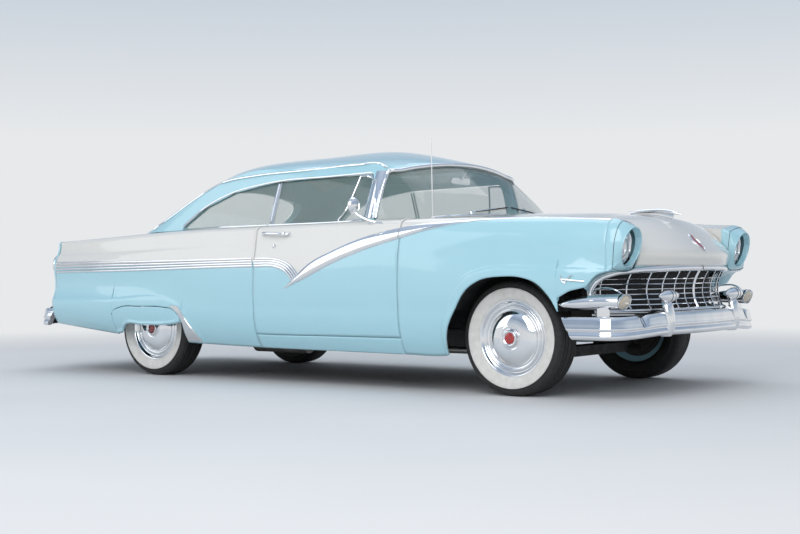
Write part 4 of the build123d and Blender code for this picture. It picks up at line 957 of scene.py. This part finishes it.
def ring_x(z):
    """The slanted front rim of a lamp hood, longest at the top."""
    return 2.373 + .054 * (z - .716) / (.929 - .716)


def on_circle(radius, angle):
    """The y and z of places round a head lamp."""
    return LAMP_Y + radius * np.cos(angle), LAMP_Z + radius * np.sin(angle)


def build_lamp_hoods():
    """The hoods round the head lamps, with their seams."""
    p = cached_profile(FENDER_FRONT_X)
    outer = p[int(np.argmax(p[:, 1] >= .692)):]
    inner = np.array([(.606, z) for z in np.linspace(.945, .716, 18)])
    under = np.array([(y, .69) for y in np.linspace(.63, outer[0, 0] - .006, 16)])
    loop = evenly(soften(np.vstack([outer, inner, under, outer[:1]]), 2), 145)[:-1]
    angle = np.arctan2(loop[:, 1] - LAMP_Z, loop[:, 0] - LAMP_Y)
    ring = np.column_stack(on_circle(LAMP_RIM, angle))

    def between(t):
        """The section part of the way from the fender's end to the round rim."""
        w = t ** HOOD_BULGE
        return loop * (1 - w) + ring * w

    rows = []
    for t in np.linspace(0, 1, 22):
        x = FENDER_FRONT_X - .002 + (ring_x(ring[:, 1]) - FENDER_FRONT_X + .002) * t
        rows.append(np.column_stack([x, between(t)]))
    for radius, ahead in (
        (.1075, .003), (.1055, .0042), (.1035, .0028), (.102, -.003), (.0985, -.018), (.095, -.03),
    ):
        y, z = on_circle(radius, angle)
        rows.append(xyz(ring_x(z) + ahead, y, z))
    hood = Build()
    hood.grid(rows, close_columns=True)
    both(hood, "lamp_hood", [BLUE], "headlamp_hoods", slot="blue_paint", sharp=50)
    t = .52
    yz = between(t)
    out = yz - (LAMP_Y, LAMP_Z)
    out /= np.linalg.norm(out, axis=1)[:, None]
    x = FENDER_FRONT_X + (ring_x(ring[:, 1]) - FENDER_FRONT_X) * t
    seam = Build()
    seam.tube(np.column_stack([x, yz + out * .0003]), .0013, .0013, 6, AHEAD, closed=True)
    both(seam, "lamp_door_seam", [DARK_AND_PAINTED_SHADE], slot="blue_paint")


GLASS_RADIUS = .0815


def build_head_lamps():
    """The lamps' rims with bowl, bulb and glass."""
    lamp = Build()
    angle = turns(72)
    rows = []
    for radius, x in (
        (.0965, 2.336), (.095, 2.344), (.093, 2.35), (.0905, 2.353), (.0875, 2.3535), (.085, 2.351),
        (.0835, 2.346), (GLASS_RADIUS, 2.344),
    ):
        y, z = on_circle(radius, angle)
        lean = .22 * (z - LAMP_Z) * min(1, (radius - GLASS_RADIUS) / .01)
        rows.append(xyz(x + lean, y, z))
    lamp.grid(rows, 0, close_columns=True)
    bowl = [(2.344, GLASS_RADIUS), (2.336, .08), (2.318, .07), (2.304, .052), (2.295, .03), (2.292, .0005)]
    bulb = [(2.318, .0005), (2.318, .012), (2.312, .016), (2.304, .018)]
    dome = [(2.345, GLASS_RADIUS), (2.351, .074), (2.3575, .06), (2.3615, .042), (2.3635, .022),
            (2.364, .0005)]
    for outline, steps, pick in ((bowl, 48, 0), (bulb, 20, 0), (through(dome, 24), 72, 1)):
        lamp.spin(outline, (0, LAMP_Y, LAMP_Z), steps, pick, "x")
    both(lamp, "head_lamp", [CHROME, LENS], "front_lamps", slot="clear_lens")


def mould_x(y, front):
    """The plan line of the grille's mouldings: nearly straight in the middle and swept back at its ends."""
    return front - .291 * (np.abs(y) / .76) ** 3.4


MOUTH = through([(.762, .56), (.761, .59), (.755, .614), (.741, .641), (.714, .668), (.67, .687), (.59, .698),
    (.455, .705), (.24, .711), (0, .7125)], 70)


def mouth_z(y):
    """The height of the mouth's upper line at a half width."""
    upper = MOUTH[MOUTH[:, 1] > .6][::-1]
    return np.interp(np.abs(y), upper[:, 0], upper[:, 1])


GRILLE_X = 2.448
MOUTH_X = 2.456


def grille_x(y, z):
    """The grille's face, hollow between its upper and lower edges."""
    return mould_x(y, GRILLE_X) - .034 * (1 - ((z - .585) / .105) ** 2)


def build_grille():
    """The bars, a near-black sheet of painted shade behind them, and what frames them."""
    bars = Build()
    ys = np.linspace(-.735, .735, 91)
    for z in (.512, .54, .568, .596, .624, .652):
        reach = ys[mouth_z(ys) - .012 > z] if z > .6 else ys
        bars.tube(xyz(grille_x(reach, z), reach, z), .006, .0034, 8)
    for k in range(-6, 7):
        y = k * .121 - .004 * k * abs(k) / 6
        zs = np.linspace(.488, float(mouth_z(y)) - .012, 18)
        path = xyz(grille_x(y, zs), y, zs)
        bars.tube(path, .005 if k else .009, .0032 if k else .0085, 8, ACROSS)
    # A near-black sheet behind the bars: painted shade for the dark space behind the grille.
    shade = [[(float(mould_x(y, GRILLE_X)) - .09, y, z) for y in ys] for z in np.linspace(.48, .69, 6)]
    bars.grid(shade, 1)
    one(bars, "grille_bars", [CHROME, DARK_AND_PAINTED_SHADE], "grille", sharp=30)
    upper = xyz(mould_x(MOUTH[:, 0], MOUTH_X), MOUTH[:, 0], MOUTH[:, 1])
    build_mouldings(to_right(upper))
    build_nose_panels(upper)


def build_valleys():
    """The fenders' inner walls beside the bonnet."""
    valley = Build()
    rows = []
    for x in np.linspace(1.3, FENDER_FRONT_X - .001, 40):
        y, z = cached_profile(x)[-1]
        rows.append([(x, y, z), (x, y - .001, z - .03), (x, y - .002, z - .1), (x, y - .003, .77)])
    valley.grid(rows, flip=True)
    both(valley, "fender_valley", [WHITE], slot="white_paint", sharp=60)


def build_mouldings(line):
    """The bright frame round the mouth, its two lower bars and the lips under the fenders."""
    mouldings = Build()
    turn = clamp((np.abs(line[:, 1]) - .6) / .16) ** 1.5
    ups = xyz(0, np.copysign(turn, line[:, 1]), 1.0001 - turn)
    mouldings.tube(line, .022, .0185, 18, ups)
    lower = np.linspace(-.742, .742, 90)
    for front, z, wide, high, sides in ((2.446, .478, .02, .012, 16), (2.43, .46, .018, .009, 12)):
        mouldings.tube(xyz(mould_x(lower, front), lower, z), wide, high, sides)
    seam = [(2.4785, 0, .696), (2.479, 0, .7125), (2.477, 0, .726), (2.466, 0, .7318)]
    mouldings.tube(seam, .0013, .0013, 6, ACROSS, pick=1)
    lip = np.array([(2.19, .766, .572), (2.215, .79, .596), (2.26, .806, .605), (2.31, .808, .604),
                    (2.35, .798, .59), (2.378, .786, .566)])
    for hand in (1, -1):
        mouldings.tube(through(lip * (1, hand, 1), 30), .01, .0055, 10)
    one(mouldings, "grille_frame", [CHROME, DARK_AND_PAINTED_SHADE], "grille_surround")


def build_nose_panels(mouth):
    """The blue panels from the bonnet's edge and the lamp hoods down to the mouth's moulding."""
    ys = np.linspace(.6, 0, 40)
    upper = [(2.475 - .114 * (y / .603) ** 2.2 - .01, y, .732) for y in ys]
    corner = ((2.214, .61), (2.236, .626), (2.256, .656), (2.286, .683), (2.3235, .693))
    edge = [(x, side_y(x, z) - .001, z) for x, z in corner]
    edge += [(2.328, .85, .693), (2.334, .8, .693), (2.34, .74, .693), (2.346, .68, .693),
             (2.35, .64, .698), (2.356, .612, .712)]
    outer = np.vstack([evenly(np.array(edge), 40), np.array(upper)])
    inner = np.vstack([evenly(mouth[: int(np.argmin(abs(mouth[:, 1] - .6)))], 40),
                       np.array([(float(mould_x(y, MOUTH_X)), y, float(mouth_z(y))) for y in ys])])
    inner += (-.01, 0, .004)
    rows = []
    for t in np.linspace(0, 1, 12):
        rows.append(outer * (1 - t) + inner * t + (.01 * math.sin(math.pi * t), 0, 0))
    nose = Build()
    nose.grid(rows)
    both(nose, "nose_panel", [BLUE], slot="blue_paint", sharp=60)


# Bumpers: half width, wrap and depth of the plan line
FRONT_LINE = (.938, .44, .24)
REAR_LINE = (.905, .325, .27)


def bumper_line(side, wrap, depth):
    """A bumper's plan line from its left end to its right one, with its outward normals."""
    turn = .15
    radius = ((side - turn) ** 2 + depth**2 - turn**2) / (2 * (depth - turn))
    angle = math.asin((side - turn) / (radius - turn))
    bend = TIP_X - depth
    points = [(x, side, 0, 1) for x in np.linspace(TIP_X - wrap, bend, 14)[:-1]]
    for a in np.linspace(math.pi / 2, angle, 30)[:-1]:
        points.append((bend + turn * math.cos(a), side - turn + turn * math.sin(a), math.cos(a), math.sin(a)))
    for a in np.linspace(angle, 0, 40):
        points.append((TIP_X - radius + radius * math.cos(a), radius * math.sin(a), math.cos(a), math.sin(a)))
    half = np.array(points)
    near = np.linspace(.58, .78, 40)
    extra = np.column_stack([np.interp(near[::-1], half[::-1, 1], half[::-1, k]) for k in range(4)])
    half = np.vstack([half[half[:, 1] > .78], extra, half[half[:, 1] < .58]])
    return np.vstack([half, half[-2::-1] * (1, -1, 1, -1)])


# The bumper's section: how far out from its plan line, then z.
BUMPER_FACE = through([
    (-.046, .463), (-.034, .4692), (-.025, .47), (-.0165, .461), (-.0085, .437), (-.0035, .414),
    (-.0012, .403), (-.0045, .3955), (-.0105, .3915), (-.0085, .386), (-.002, .373), (-.0005, .365),
    (-.004, .355), (-.016, .3462), (-.033, .3465), (-.046, .352),
], 60)


def dent(z):
    """How much of the dip in the bumper's upper half a height takes."""
    return clamp((z - .395) / .06)


def bumper_bar(build, line, sign):
    """The bumper's outer face along its plan line, with drooping corners and slanted ends."""
    rear = line[:, 0].min()

    def bend(x, y, z):
        """Leans the ends of the bar and lets its corners droop."""
        lean = clamp(1 - (x - rear) / .14)
        return x + lean * .6 * (.456 - z), z - .016 * ease((abs(y) - .45) / .4)

    rows = []
    inner = []
    for x, y, nx, ny in line:
        dip = math.exp(-((abs(y) - .68) / .03) ** 2)
        row = []
        for out, z in BUMPER_FACE:
            deep = dip * dent(z)
            px, pz = bend(x + nx * (out - .01 * deep), y, z - .014 * deep)
            row.append((sign * px, y + ny * (out - .01 * deep), pz))
        rows.append(row)
        row = []
        for z in (.462, .43, .39, .353):
            px, pz = bend(x - nx * .044, y, z)
            row.append((sign * px, y - ny * .044, pz))
        inner.append(row)
    build.grid(rows)
    build.grid(inner, 1)
    for cap in (rows[0], rows[-1]):
        build.face(cap)


def guard(build, sign, y):
    """An upright with a rounded nose."""
    rows = []
    levels = through([(.338, .024, .036), (.352, .014, .04), (.42, .0, .042), (.48, .006, .04),
                      (.512, .014, .036), (.53, .024, .028), (.536, .034, .014)], 40)
    a = np.linspace(-math.pi / 2, math.pi / 2, 22)
    for z, behind, half in levels:
        xs = TIP_X - .054 - behind + .04 * np.cos(a) ** .8
        ys = y + half * np.sin(a)
        loop = [(TIP_X - .066, y - half), *zip(xs, ys), (TIP_X - .066, y + half)]
        rows.append([(sign * px, py, z) for px, py in loop])
    build.grid(rows, 0, close_columns=True)
    for cap in (rows[-1], rows[0]):
        build.face(cap)


def egg(build, rows, count=48, sides=40, pick=0):
    """A body along X through ellipses: x, y, z, half width, half height."""
    t = turns(sides)
    ring = [[(x, y + max(w, .0004) * math.cos(a), z + max(h, .0004) * math.sin(a)) for a in t]
            for x, y, z, w, h in through(rows, count)]
    build.grid(ring, pick, close_columns=True)


# The parking lamps' pods: x behind the bumper's tip, y, z and the half sizes.
POD = [(-.455, .93, .519, .001, .001), (-.44, .926, .519, .012, .01), (-.4, .912, .522, .03, .024),
       (-.33, .89, .527, .048, .036), (-.24, .858, .531, .06, .042), (-.15, .83, .532, .068, .044),
       (-.125, .822, .532, .069, .044)]
POD_RIM = [(-.125, .069, .044), (-.117, .069, .0435), (-.114, .0665, .041), (-.116, .064, .0385),
           (-.123, .063, .037)]
POD_LENS = [(-.123, .063, .037), (-.116, .052, .03), (-.112, .028, .016), (-.1115, .0005, .0005)]


def parking_lamp(build, hand):
    """A pod on its post, with its rim and lens, and the seam in the bumper beside it."""
    egg(build, [(TIP_X + a, hand * b, c, d, e) for a, b, c, d, e in POD])
    t = turns(48)
    for rows, pick in ((np.array(POD_RIM), 0), (through(POD_LENS, 14), 2)):
        ring = [[(TIP_X + x + .3 * h * math.sin(a), hand * (.82 + w * math.cos(a)), .532 + h * math.sin(a))
                 for a in t] for x, w, h in rows]
        build.grid(ring, pick, close_columns=True)
    build.tube([(2.3, hand * .868, .455), (2.3, hand * .868, .505)], .03, .04, 16, AHEAD)
    build.tube([(2.27, hand * .425, .402), (2.47, hand * .425, .402)], .02, .026, 8, pick=1)
    notch = []
    for z in np.linspace(.4, .462, 12):
        out = np.interp(z, BUMPER_FACE[::-1, 1], BUMPER_FACE[::-1, 0])
        notch.append((2.458 + out * .97 + .0006 - .01 * dent(z), hand * .68, z - .014 * dent(z)))
    build.tube(notch, .0018, .0018, 6, ACROSS, pick=1)


def build_front_bumper():
    """The front bumper with its guards and their spindles, the parking lamps and the brackets."""
    build = Build()
    bumper_bar(build, bumper_line(*FRONT_LINE), 1)
    for y in (-GUARD_Y, GUARD_Y):
        guard(build, 1, y)
        ys = np.linspace(-.122, .122, 41)
        spindle = [(v, .0348 * max(0.0, 1 - (abs(v) / .122) ** 1.8) ** .75 + .0004) for v in ys]
        centre = (TIP_X - .046, y, .559)
        build.spin(spindle, centre, 32, 0)
        for v in (-.018, .018):
            build.spin([(v - .002, .0352), (v, .036), (v + .002, .0352)], centre, 32, 1)
    for hand in (1, -1):
        parking_lamp(build, hand)
    one(build, "bumper_front", [CHROME, DARK_AND_PAINTED_SHADE, AMBER], "front_bumper", sharp=40)


def build_rear_bumper():
    """The rear bumper with its guards, brackets and the plate's holder."""
    build = Build()
    bumper_bar(build, bumper_line(*REAR_LINE), -1)
    for y in (-GUARD_Y, GUARD_Y):
        guard(build, -1, y)
        arm_y = y - math.copysign(.016, y)
        build.tube([(-2.16, arm_y, .402), (-2.47, arm_y, .402)], .02, .026, 8, pick=1)
    build.tube([(-2.47, 0, .452), (-2.4755, 0, .5), (-2.4755, 0, .588)], .15, .0025, 4, AHEAD)
    one(build, "bumper_rear", [CHROME, DARK_AND_PAINTED_SHADE], "rear_bumper", sharp=40)


def build_plate():
    """A blank number plate."""
    plate = Build()
    y, z = np.meshgrid(np.linspace(-.15, .15, 16), np.linspace(PLATE_Z - .075, PLATE_Z + .075, 9))
    plate.grid(xyz(-2.481, y, z))
    one(plate, "blank_plate", [WHITE], slot="white_paint", edge=.0012)


def build_ornament():
    """The slim arrow on the bonnet."""
    build = Build()
    body = [(-.507, 1.041, .002, .003), (-.47, 1.044, .009, .009), (-.389, 1.047, .015, .0125),
            (-.3, 1.045, .017, .0135), (-.225, 1.034, .012, .01), (-.19, 1.025, .006, .006),
            (-.169, 1.019, .001, .001)]
    egg(build, [(TIP_X + x, 0, z, w, h) for x, z, w, h in body], 48, 24)
    fin = through([(TIP_X + x, 0, z) for x, z in ((-.5, 1.03), (-.4, 1.032), (-.3, 1.02), (-.23, 1.0))], 24)
    build.tube(fin, .0045, np.linspace(.01, .028, 24))
    for hand in (1, -1):
        wing = ((-.33, .01, 1.044), (-.41, .04, 1.045), (-.48, .07, 1.046))
        path = through([(TIP_X + x, hand * y, z) for x, y, z in wing], 20)
        build.tube(path, np.linspace(.03, .008, 20), .0028, 12)
    one(build, "bonnet_ornament", [CHROME], body="bonnet")


def build_crest():
    """A plain crest on the bonnet's nose."""
    crest = Build()
    tree = BVHTree.FromPolygons(*bonnet_mesh)
    angles = turns(40)

    def shield(scale, lift):
        """A ring in the shape of a shield, laid on the bonnet."""
        ring = []
        for a in angles:
            up = math.sin(a)
            y = .036 * scale * math.cos(a)
            z = .862 + .046 * scale * (up if up > 0 else up * (1.25 - .25 * abs(math.cos(a))))
            place = tree.ray_cast(Vector((3, y, z)), Vector((-1, 0, 0)))[0]
            ring.append(((place.x if place else 2.42) + lift, y, z))
        return ring

    rim = [shield(1.0, .0005), shield(.99, .006), shield(.88, .008), shield(.84, .004)]
    face = [shield(.84, .004), shield(.5, .007), shield(.2, .008), shield(.02, .008)]
    for pick, rings in enumerate((rim, face)):
        crest.grid(rings, pick, close_columns=True)
    one(crest, "bonnet_crest", [CHROME, REDPAINT], body="bonnet")


# The tail


def build_tail_lamps():
    """The round tail lamps with their pods."""
    build = Build()
    pod = through([(.03, .0815), (-.01, .0845), (-.05, .085), (-.066, .085), (-.072, .082), (-.07, .074),
                   (-.058, .0705)], 30)
    lens = through([(-.058, .0705), (-.074, .066), (-.084, .05), (-.09, .028), (-.091, .015)], 24)
    button = [(-.091, .015), (-.094, .014), (-.095, .008), (-.095, .0005)]
    for outline, steps, pick in ((pod, 64, 0), (lens, 64, 1), (button, 24, 0)):
        build.spin(outline, (TAIL_X, .791, .77), steps, pick, "x")
    both(build, "tail_lamp", [CHROME, RED], "tail_lamps", slot="red_lens")


def build_splash_pan():
    """The body-coloured sheet that closes the space between the tail and the rear bumper."""
    line = bumper_line(*REAR_LINE)
    half = line[: len(line) // 2 + 1]
    root = TAIL_X - .01
    rows = []
    for y in np.linspace(-.87, .87, 69):
        edge = .075 - np.interp(abs(y), half[::-1, 1], half[::-1, 0])
        top = [(root + (edge - root) * s, y, .484 - .02 * s - .012 * s**8) for s in np.linspace(0, 1, 12)]
        rows.append(top + [(x, y, z - .003) for x, y, z in reversed(top)])
    build = Build()
    build.grid(rows, 0, close_columns=True)
    one(build, "splash_pan", [BLUE], slot="blue_paint", sharp=50)


# The inside


def soft_block(build, low, high, lean, power, rows, columns, ribs=0, depth=.006):
    """A padded block: full in the middle and pulled in at its edges, with pleats across its top."""
    cx, cy, cz = [(a + b) / 2 for a, b in zip(low, high)]
    hx, hy, hz = [(b - a) / 2 for a, b in zip(low, high)]
    u = np.linspace(-math.pi / 2, math.pi / 2, rows)
    v = np.linspace(-math.pi, math.pi, columns, endpoint=False)

    def squared(a):
        """Pushes a sine or cosine out towards a square."""
        return np.sign(a) * np.abs(a) ** power

    x = squared(np.cos(u))[:, None] * squared(np.cos(v))[None]
    y = squared(np.cos(u))[:, None] * squared(np.sin(v))[None]
    z = np.broadcast_to(squared(np.sin(u))[:, None], x.shape)
    crown = 1 - .1 * (x**2 + y**2) / 2
    pleat = np.zeros_like(x)
    if ribs:
        pleat = depth * (np.abs(np.sin(y * math.pi * ribs / 2)) - .5) * (np.abs(y) < .93)
    px = cx + hx * x + lean * (hz * z)
    pz = cz + hz * z * crown
    if abs(lean) > .05:
        px = px + pleat * (x > .3)
    else:
        pz = pz + pleat * (z > .3)
    build.grid(xyz(px, cy + hy * y, pz), close_columns=True, flip=True)


# Seats: name, the node it stands for, materials, where x starts, x and z of both ends, half width,
# lean, rows, columns and pleats
SEATS = (
    ("front_cushion", ["front_seat"], [CLOTH, VINYL], DOOR_FRONT_X, (-.906, -.404), (.49, .632), .65,
     0, 60, 240, 22),
    ("front_backrest", [], [VINYL, CLOTH], DOOR_FRONT_X, (-1.085, -.955), (.5, .972), .65,
     -.26, 80, 240, 22),
    ("rear_cushion", ["rear_seat"], [CLOTH, VINYL], REAR_AXLE_X, (.471, .935), (.5, .652), .56,
     0, 60, 200, 20),
    ("rear_backrest", [], [VINYL, CLOTH], REAR_AXLE_X, (.262, .412), (.652, .99), .56,
     -.3, 60, 200, 20),
)


def build_seats():
    """The pleated cushions and backrests of both benches."""
    for name, replaced, look, start, xs, zs, half, lean, rows, columns, ribs in SEATS:
        build = Build()
        low = (start + xs[0], -half, zs[0])
        high = (start + xs[1], half, zs[1])
        soft_block(build, low, high, lean, .18, rows, columns, ribs)
        piece = one(build, name, look, *replaced, slot="seat_trim", sharp=60)


def build_roof_lining():
    """The cloth under the roof."""
    rows = []
    for x in np.linspace(-.8, .735, 34):
        row = []
        for y in np.linspace(-.52, .52, 21):
            place = ROOF.ray_cast(Vector((x, y, 1.15)), Vector((0, 0, 1)))[0]
            row.append((x, y, (place.z if place else 1.36) - .006))
        rows.append(row)
    liner = Build()
    liner.grid(rows)
    one(liner, "roof_lining", [LINER], slot="seat_trim")


def build_inside_mirror():
    """The mirror on its stem over the dashboard."""
    mirror = Build()
    soft_block(mirror, (.79, -.105, 1.262), (.806, .105, 1.312), 0, .35, 16, 32)
    mirror.tube([(.806, 0, 1.292), (.826, 0, 1.325), (.85, 0, 1.352)], .005, .005, 8, ACROSS)
    one(mirror, "inside_mirror", [CHROME])


def build_steering_wheel():
    """The rim, horn ring, spokes, hub and column."""
    hub = np.array((DOOR_FRONT_X - .636, .38, .83))
    axis = np.array((.655, 0, -.27))
    axis /= np.linalg.norm(axis)
    across = np.array(ACROSS)
    over = np.cross(axis, across)
    wheel = Build()
    t = turns(72)
    circle = np.cos(t)[:, None] * across + np.sin(t)[:, None] * over
    wheel.tube(hub + .205 * circle, .0105, .0105, 12, tuple(axis), closed=True)
    wheel.tube(hub + axis * .006 + .125 * circle, .0045, .0045, 8, tuple(axis), pick=1, closed=True)
    for a in (math.radians(10), math.radians(170), math.radians(-90)):
        way = math.cos(a) * across + math.sin(a) * over
        spoke = [hub + way * .03 + axis * .01, hub + way * .12 + axis * .006, hub + way * .2]
        wheel.tube(spoke, (.016, .012, .009), .006, 12, tuple(axis))
    radii = (.012, .034, .04, .04, .03)
    wheel.tube([hub + axis * s for s in (-.014, -.01, .004, .02, .045)], radii, radii, 24, ACROSS, pick=1)
    wheel.tube([hub + axis * s for s in (.04, .3, .7)], .022, .022, 16, ACROSS, pick=2)
    one(wheel, "steering_wheel_rim", [IVORY, CHROME, DASH], "steering_wheel", slot="wheel_plastic")


# The dashboard's face: heights and places along the car
DASH_Z = (.79, .94, .985)
DASH_X = (DOOR_FRONT_X - .326, DOOR_FRONT_X - .316, DOOR_FRONT_X - .246)


def build_instruments():
    """Two bright strips along the dashboard, and its dials."""
    dash = Build()
    for z, high in ((.872, .006), (.934, .004)):
        x = np.interp(z, DASH_Z, DASH_X)
        dash.tube([(x - .003, y, z) for y in np.linspace(-.74, .74, 40)], .006, high, 8)
    x = np.interp(.905, DASH_Z, DASH_X)
    for y, r in ((.38, .052), (.27, .026), (.49, .026), (-.05, .03)):
        edge = (x - .012, r - .007)
        dash.spin([(x, r), (x - .014, r), (x - .016, r - .004), edge], (0, y, .903), 32, 0, "x")
        dash.spin([edge, (x - .011, .0005)], (0, y, .903), 32, 1, "x")
    one(dash, "instruments", [CHROME, DARK_AND_PAINTED_SHADE], sharp=30)


def build_wipers():
    """A pivot, an arm and a blade at each side of the windscreen."""
    build = Build()
    for sign in (1, -1):
        y0 = sign * .43
        reach = sign * .06 - y0
        foot = from_end(SCREEN, y0, 1.062, 1, 1.24)
        build.tube([(foot + .03, y0, 1.046), (foot + .022, y0, 1.06)], .012, .012, 14, AHEAD)
        arm = []
        for s in np.linspace(0, 1, 10):
            y = y0 + reach * s * .72
            z = 1.062 + .03 * s
            arm.append((from_end(SCREEN, y, z, 1, 1.24) + .02 - .006 * s, y, z))
        build.tube(arm, .004, .003, 8)
        blade = []
        for s in np.linspace(0, 1, 18):
            y = y0 - sign * .06 + (reach + sign * .02) * s
            z = 1.066 + .036 * s
            blade.append((from_end(SCREEN, y, z, 1, 1.24) + .007, y, z))
        build.tube(blade, .005, .004, 8, pick=1)
    one(build, "wipers", [CHROME, DARK_AND_PAINTED_SHADE])


# Camera, floor and light

BACKDROP = (.8, .815, .83)
CAMERA_PLACE = (5.6956, -7.1324, .6944)
CAMERA_FORWARD = (-.60324, .79755, .00443)
CAMERA_RIGHT = (.79752, .60326, -.00698)
FOCAL_PIXELS = 1332.8005
PICTURE_PIXELS = 800
SENSOR_MM = 36.0
# Name, place, aim, size and power of each lamp
LAMPS = (
    ("key", (4.5, -7.5, 5.5), (.3, 0, .5), 6.5, 370),
    ("fill", (-5.5, -6.0, 4.0), (-.5, 0, .6), 5.0, 90),
    ("top", (-1.0, 2.0, 6.5), (0, 0, 0), 6.0, 110),
)


def build_stage():
    """The photo's camera, the floor, the backdrop and the lamps."""
    cam = bpy.data.cameras.new("camera")
    cam.sensor_width = SENSOR_MM
    cam.lens = FOCAL_PIXELS / PICTURE_PIXELS * SENSOR_MM
    cam.clip_end = 200
    obj = bpy.data.objects.new("camera", cam)
    scene.collection.objects.link(obj)
    forward = Vector(CAMERA_FORWARD)
    right = Vector(CAMERA_RIGHT)
    m = Matrix((right, right.cross(forward), -forward)).transposed().to_4x4()
    m.translation = Vector(CAMERA_PLACE)
    obj.matrix_world = m
    scene.camera = obj
    t = turns(96)
    rings = np.array([0.0, 3.0, 8.0, 20.0, 60.0])
    points = xyz(np.outer(rings, np.cos(t)), np.outer(rings, np.sin(t)), 0)
    faces = grid_faces(5, 96, close_columns=True)
    floor = new_object("floor", points.reshape(-1, 3), faces, [floor_material()])
    build_world()
    for name, place, aim, size, power in LAMPS:
        light = bpy.data.lights.new(name, "AREA")
        light.shape = "SQUARE"
        light.size = size
        light.energy = power
        lamp = bpy.data.objects.new(name, light)
        lamp.location = place
        lamp.rotation_euler = (Vector(aim) - Vector(place)).to_track_quat("-Z", "Y").to_euler()
        scene.collection.objects.link(lamp)


def floor_material():
    """A pale floor that keeps the car's shadow and fades into the backdrop far away."""
    pale = ((.66, .67, .68), (.69, .7, .71))
    material, tree, shader = finish("pale_floor", *pale, (.8, .8), (.6, .6), Specular_IOR_Level=.2)
    new = tree.nodes.new
    link = tree.links.new
    length = new("ShaderNodeVectorMath")
    length.operation = "LENGTH"
    link(new("ShaderNodeTexCoord").outputs["Object"], length.inputs[0])
    reach = new("ShaderNodeMapRange")
    reach.interpolation_type = "SMOOTHSTEP"
    put(reach, From_Min=3.5, From_Max=9.0)
    link(length.outputs["Value"], reach.inputs["Value"])
    glow = new("ShaderNodeEmission")
    put(glow, Color=(*BACKDROP, 1), Strength=1.0)
    mix = new("ShaderNodeMixShader")
    link(reach.outputs["Result"], mix.inputs["Fac"])
    link(shader.outputs["BSDF"], mix.inputs[1])
    link(glow.outputs["Emission"], mix.inputs[2])
    link(mix.outputs["Shader"], tree.nodes["Material Output"].inputs["Surface"])
    return material


def build_world():
    """A plain pale backdrop for the eye, the metal and the glass, with a darker sky high up."""
    world = bpy.data.worlds.new("studio")
    scene.world = world
    world.use_nodes = True
    new = world.node_tree.nodes.new
    link = world.node_tree.links.new
    back = world.node_tree.nodes["Background"]
    split = new("ShaderNodeSeparateXYZ")
    link(new("ShaderNodeTexCoord").outputs["Generated"], split.inputs["Vector"])
    seen = new("ShaderNodeValToRGB")
    link(split.outputs["Z"], seen.inputs["Fac"])
    stops = seen.color_ramp.elements
    stops[0].position = .1
    stops[0].color = (*BACKDROP, 1)
    stops[1].position = 1.0
    stops[1].color = (.62, .7, .82, 1)
    for place, colour in ((.22, (.55, .62, .7, 1)), (.4, (.3, .38, .5, 1)), (.62, (.42, .52, .68, 1))):
        stops.new(place).color = colour
    light = new("ShaderNodeLightPath")
    straight = light.outputs["Is Camera Ray"]
    for ray in ("Is Glossy Ray", "Is Transmission Ray"):
        either = new("ShaderNodeMath")
        either.operation = "MAXIMUM"
        link(straight, either.inputs[0])
        link(light.outputs[ray], either.inputs[1])
        straight = either.outputs["Value"]
    mix = new("ShaderNodeMixRGB")
    put(mix, Color1=(.56, .6, .66, 1))
    link(straight, mix.inputs["Fac"])
    link(seen.outputs["Color"], mix.inputs["Color2"])
    link(mix.outputs["Color"], back.inputs["Color"])
    put(back, Strength=1.0)


# CAD nodes that stay, with their finishes
FINISHES = (
    (BLUE, ("rear_panels",)),
    (WHITE, ("cowl",)),
    (CHROME, ("antenna",)),
    (BLACK, ("chassis_frame", "floor_pan", "wheelhouses", "front_suspension", "rear_axle")),
    (IRON, ("engine", "knuckle_l", "knuckle_r")),
    (STEEL, ("exhaust", "fuel_tank")),
    (GLASS, ("windshield", "rear_windows", "door_glass_l", "door_glass_r")),
    (DASH, ("dashboard",)),
)


def dress_nodes():
    """Gives the nodes that stay their finishes."""
    for look, names in FINISHES:
        for name in names:
            nodes[name].data.materials.clear()
            nodes[name].data.materials.append(look)


build_stage()
dress_nodes()
build_sides()
build_lids()
build_wheels()
build_roof()
build_spears()
build_ribs()
build_gravel_shield()
build_badge()
build_roof_rails()
build_pillar_covers()
build_header()
build_screen_foot()
build_backlight_frame()
build_glass_bars()
build_door_fittings()
build_lamp_hoods()
build_head_lamps()
build_grille()
build_valleys()
build_front_bumper()
build_rear_bumper()
build_plate()
build_ornament()
build_crest()
build_tail_lamps()
build_splash_pan()
build_seats()
build_steering_wheel()
build_instruments()
build_roof_lining()
build_inside_mirror()
build_wipers()
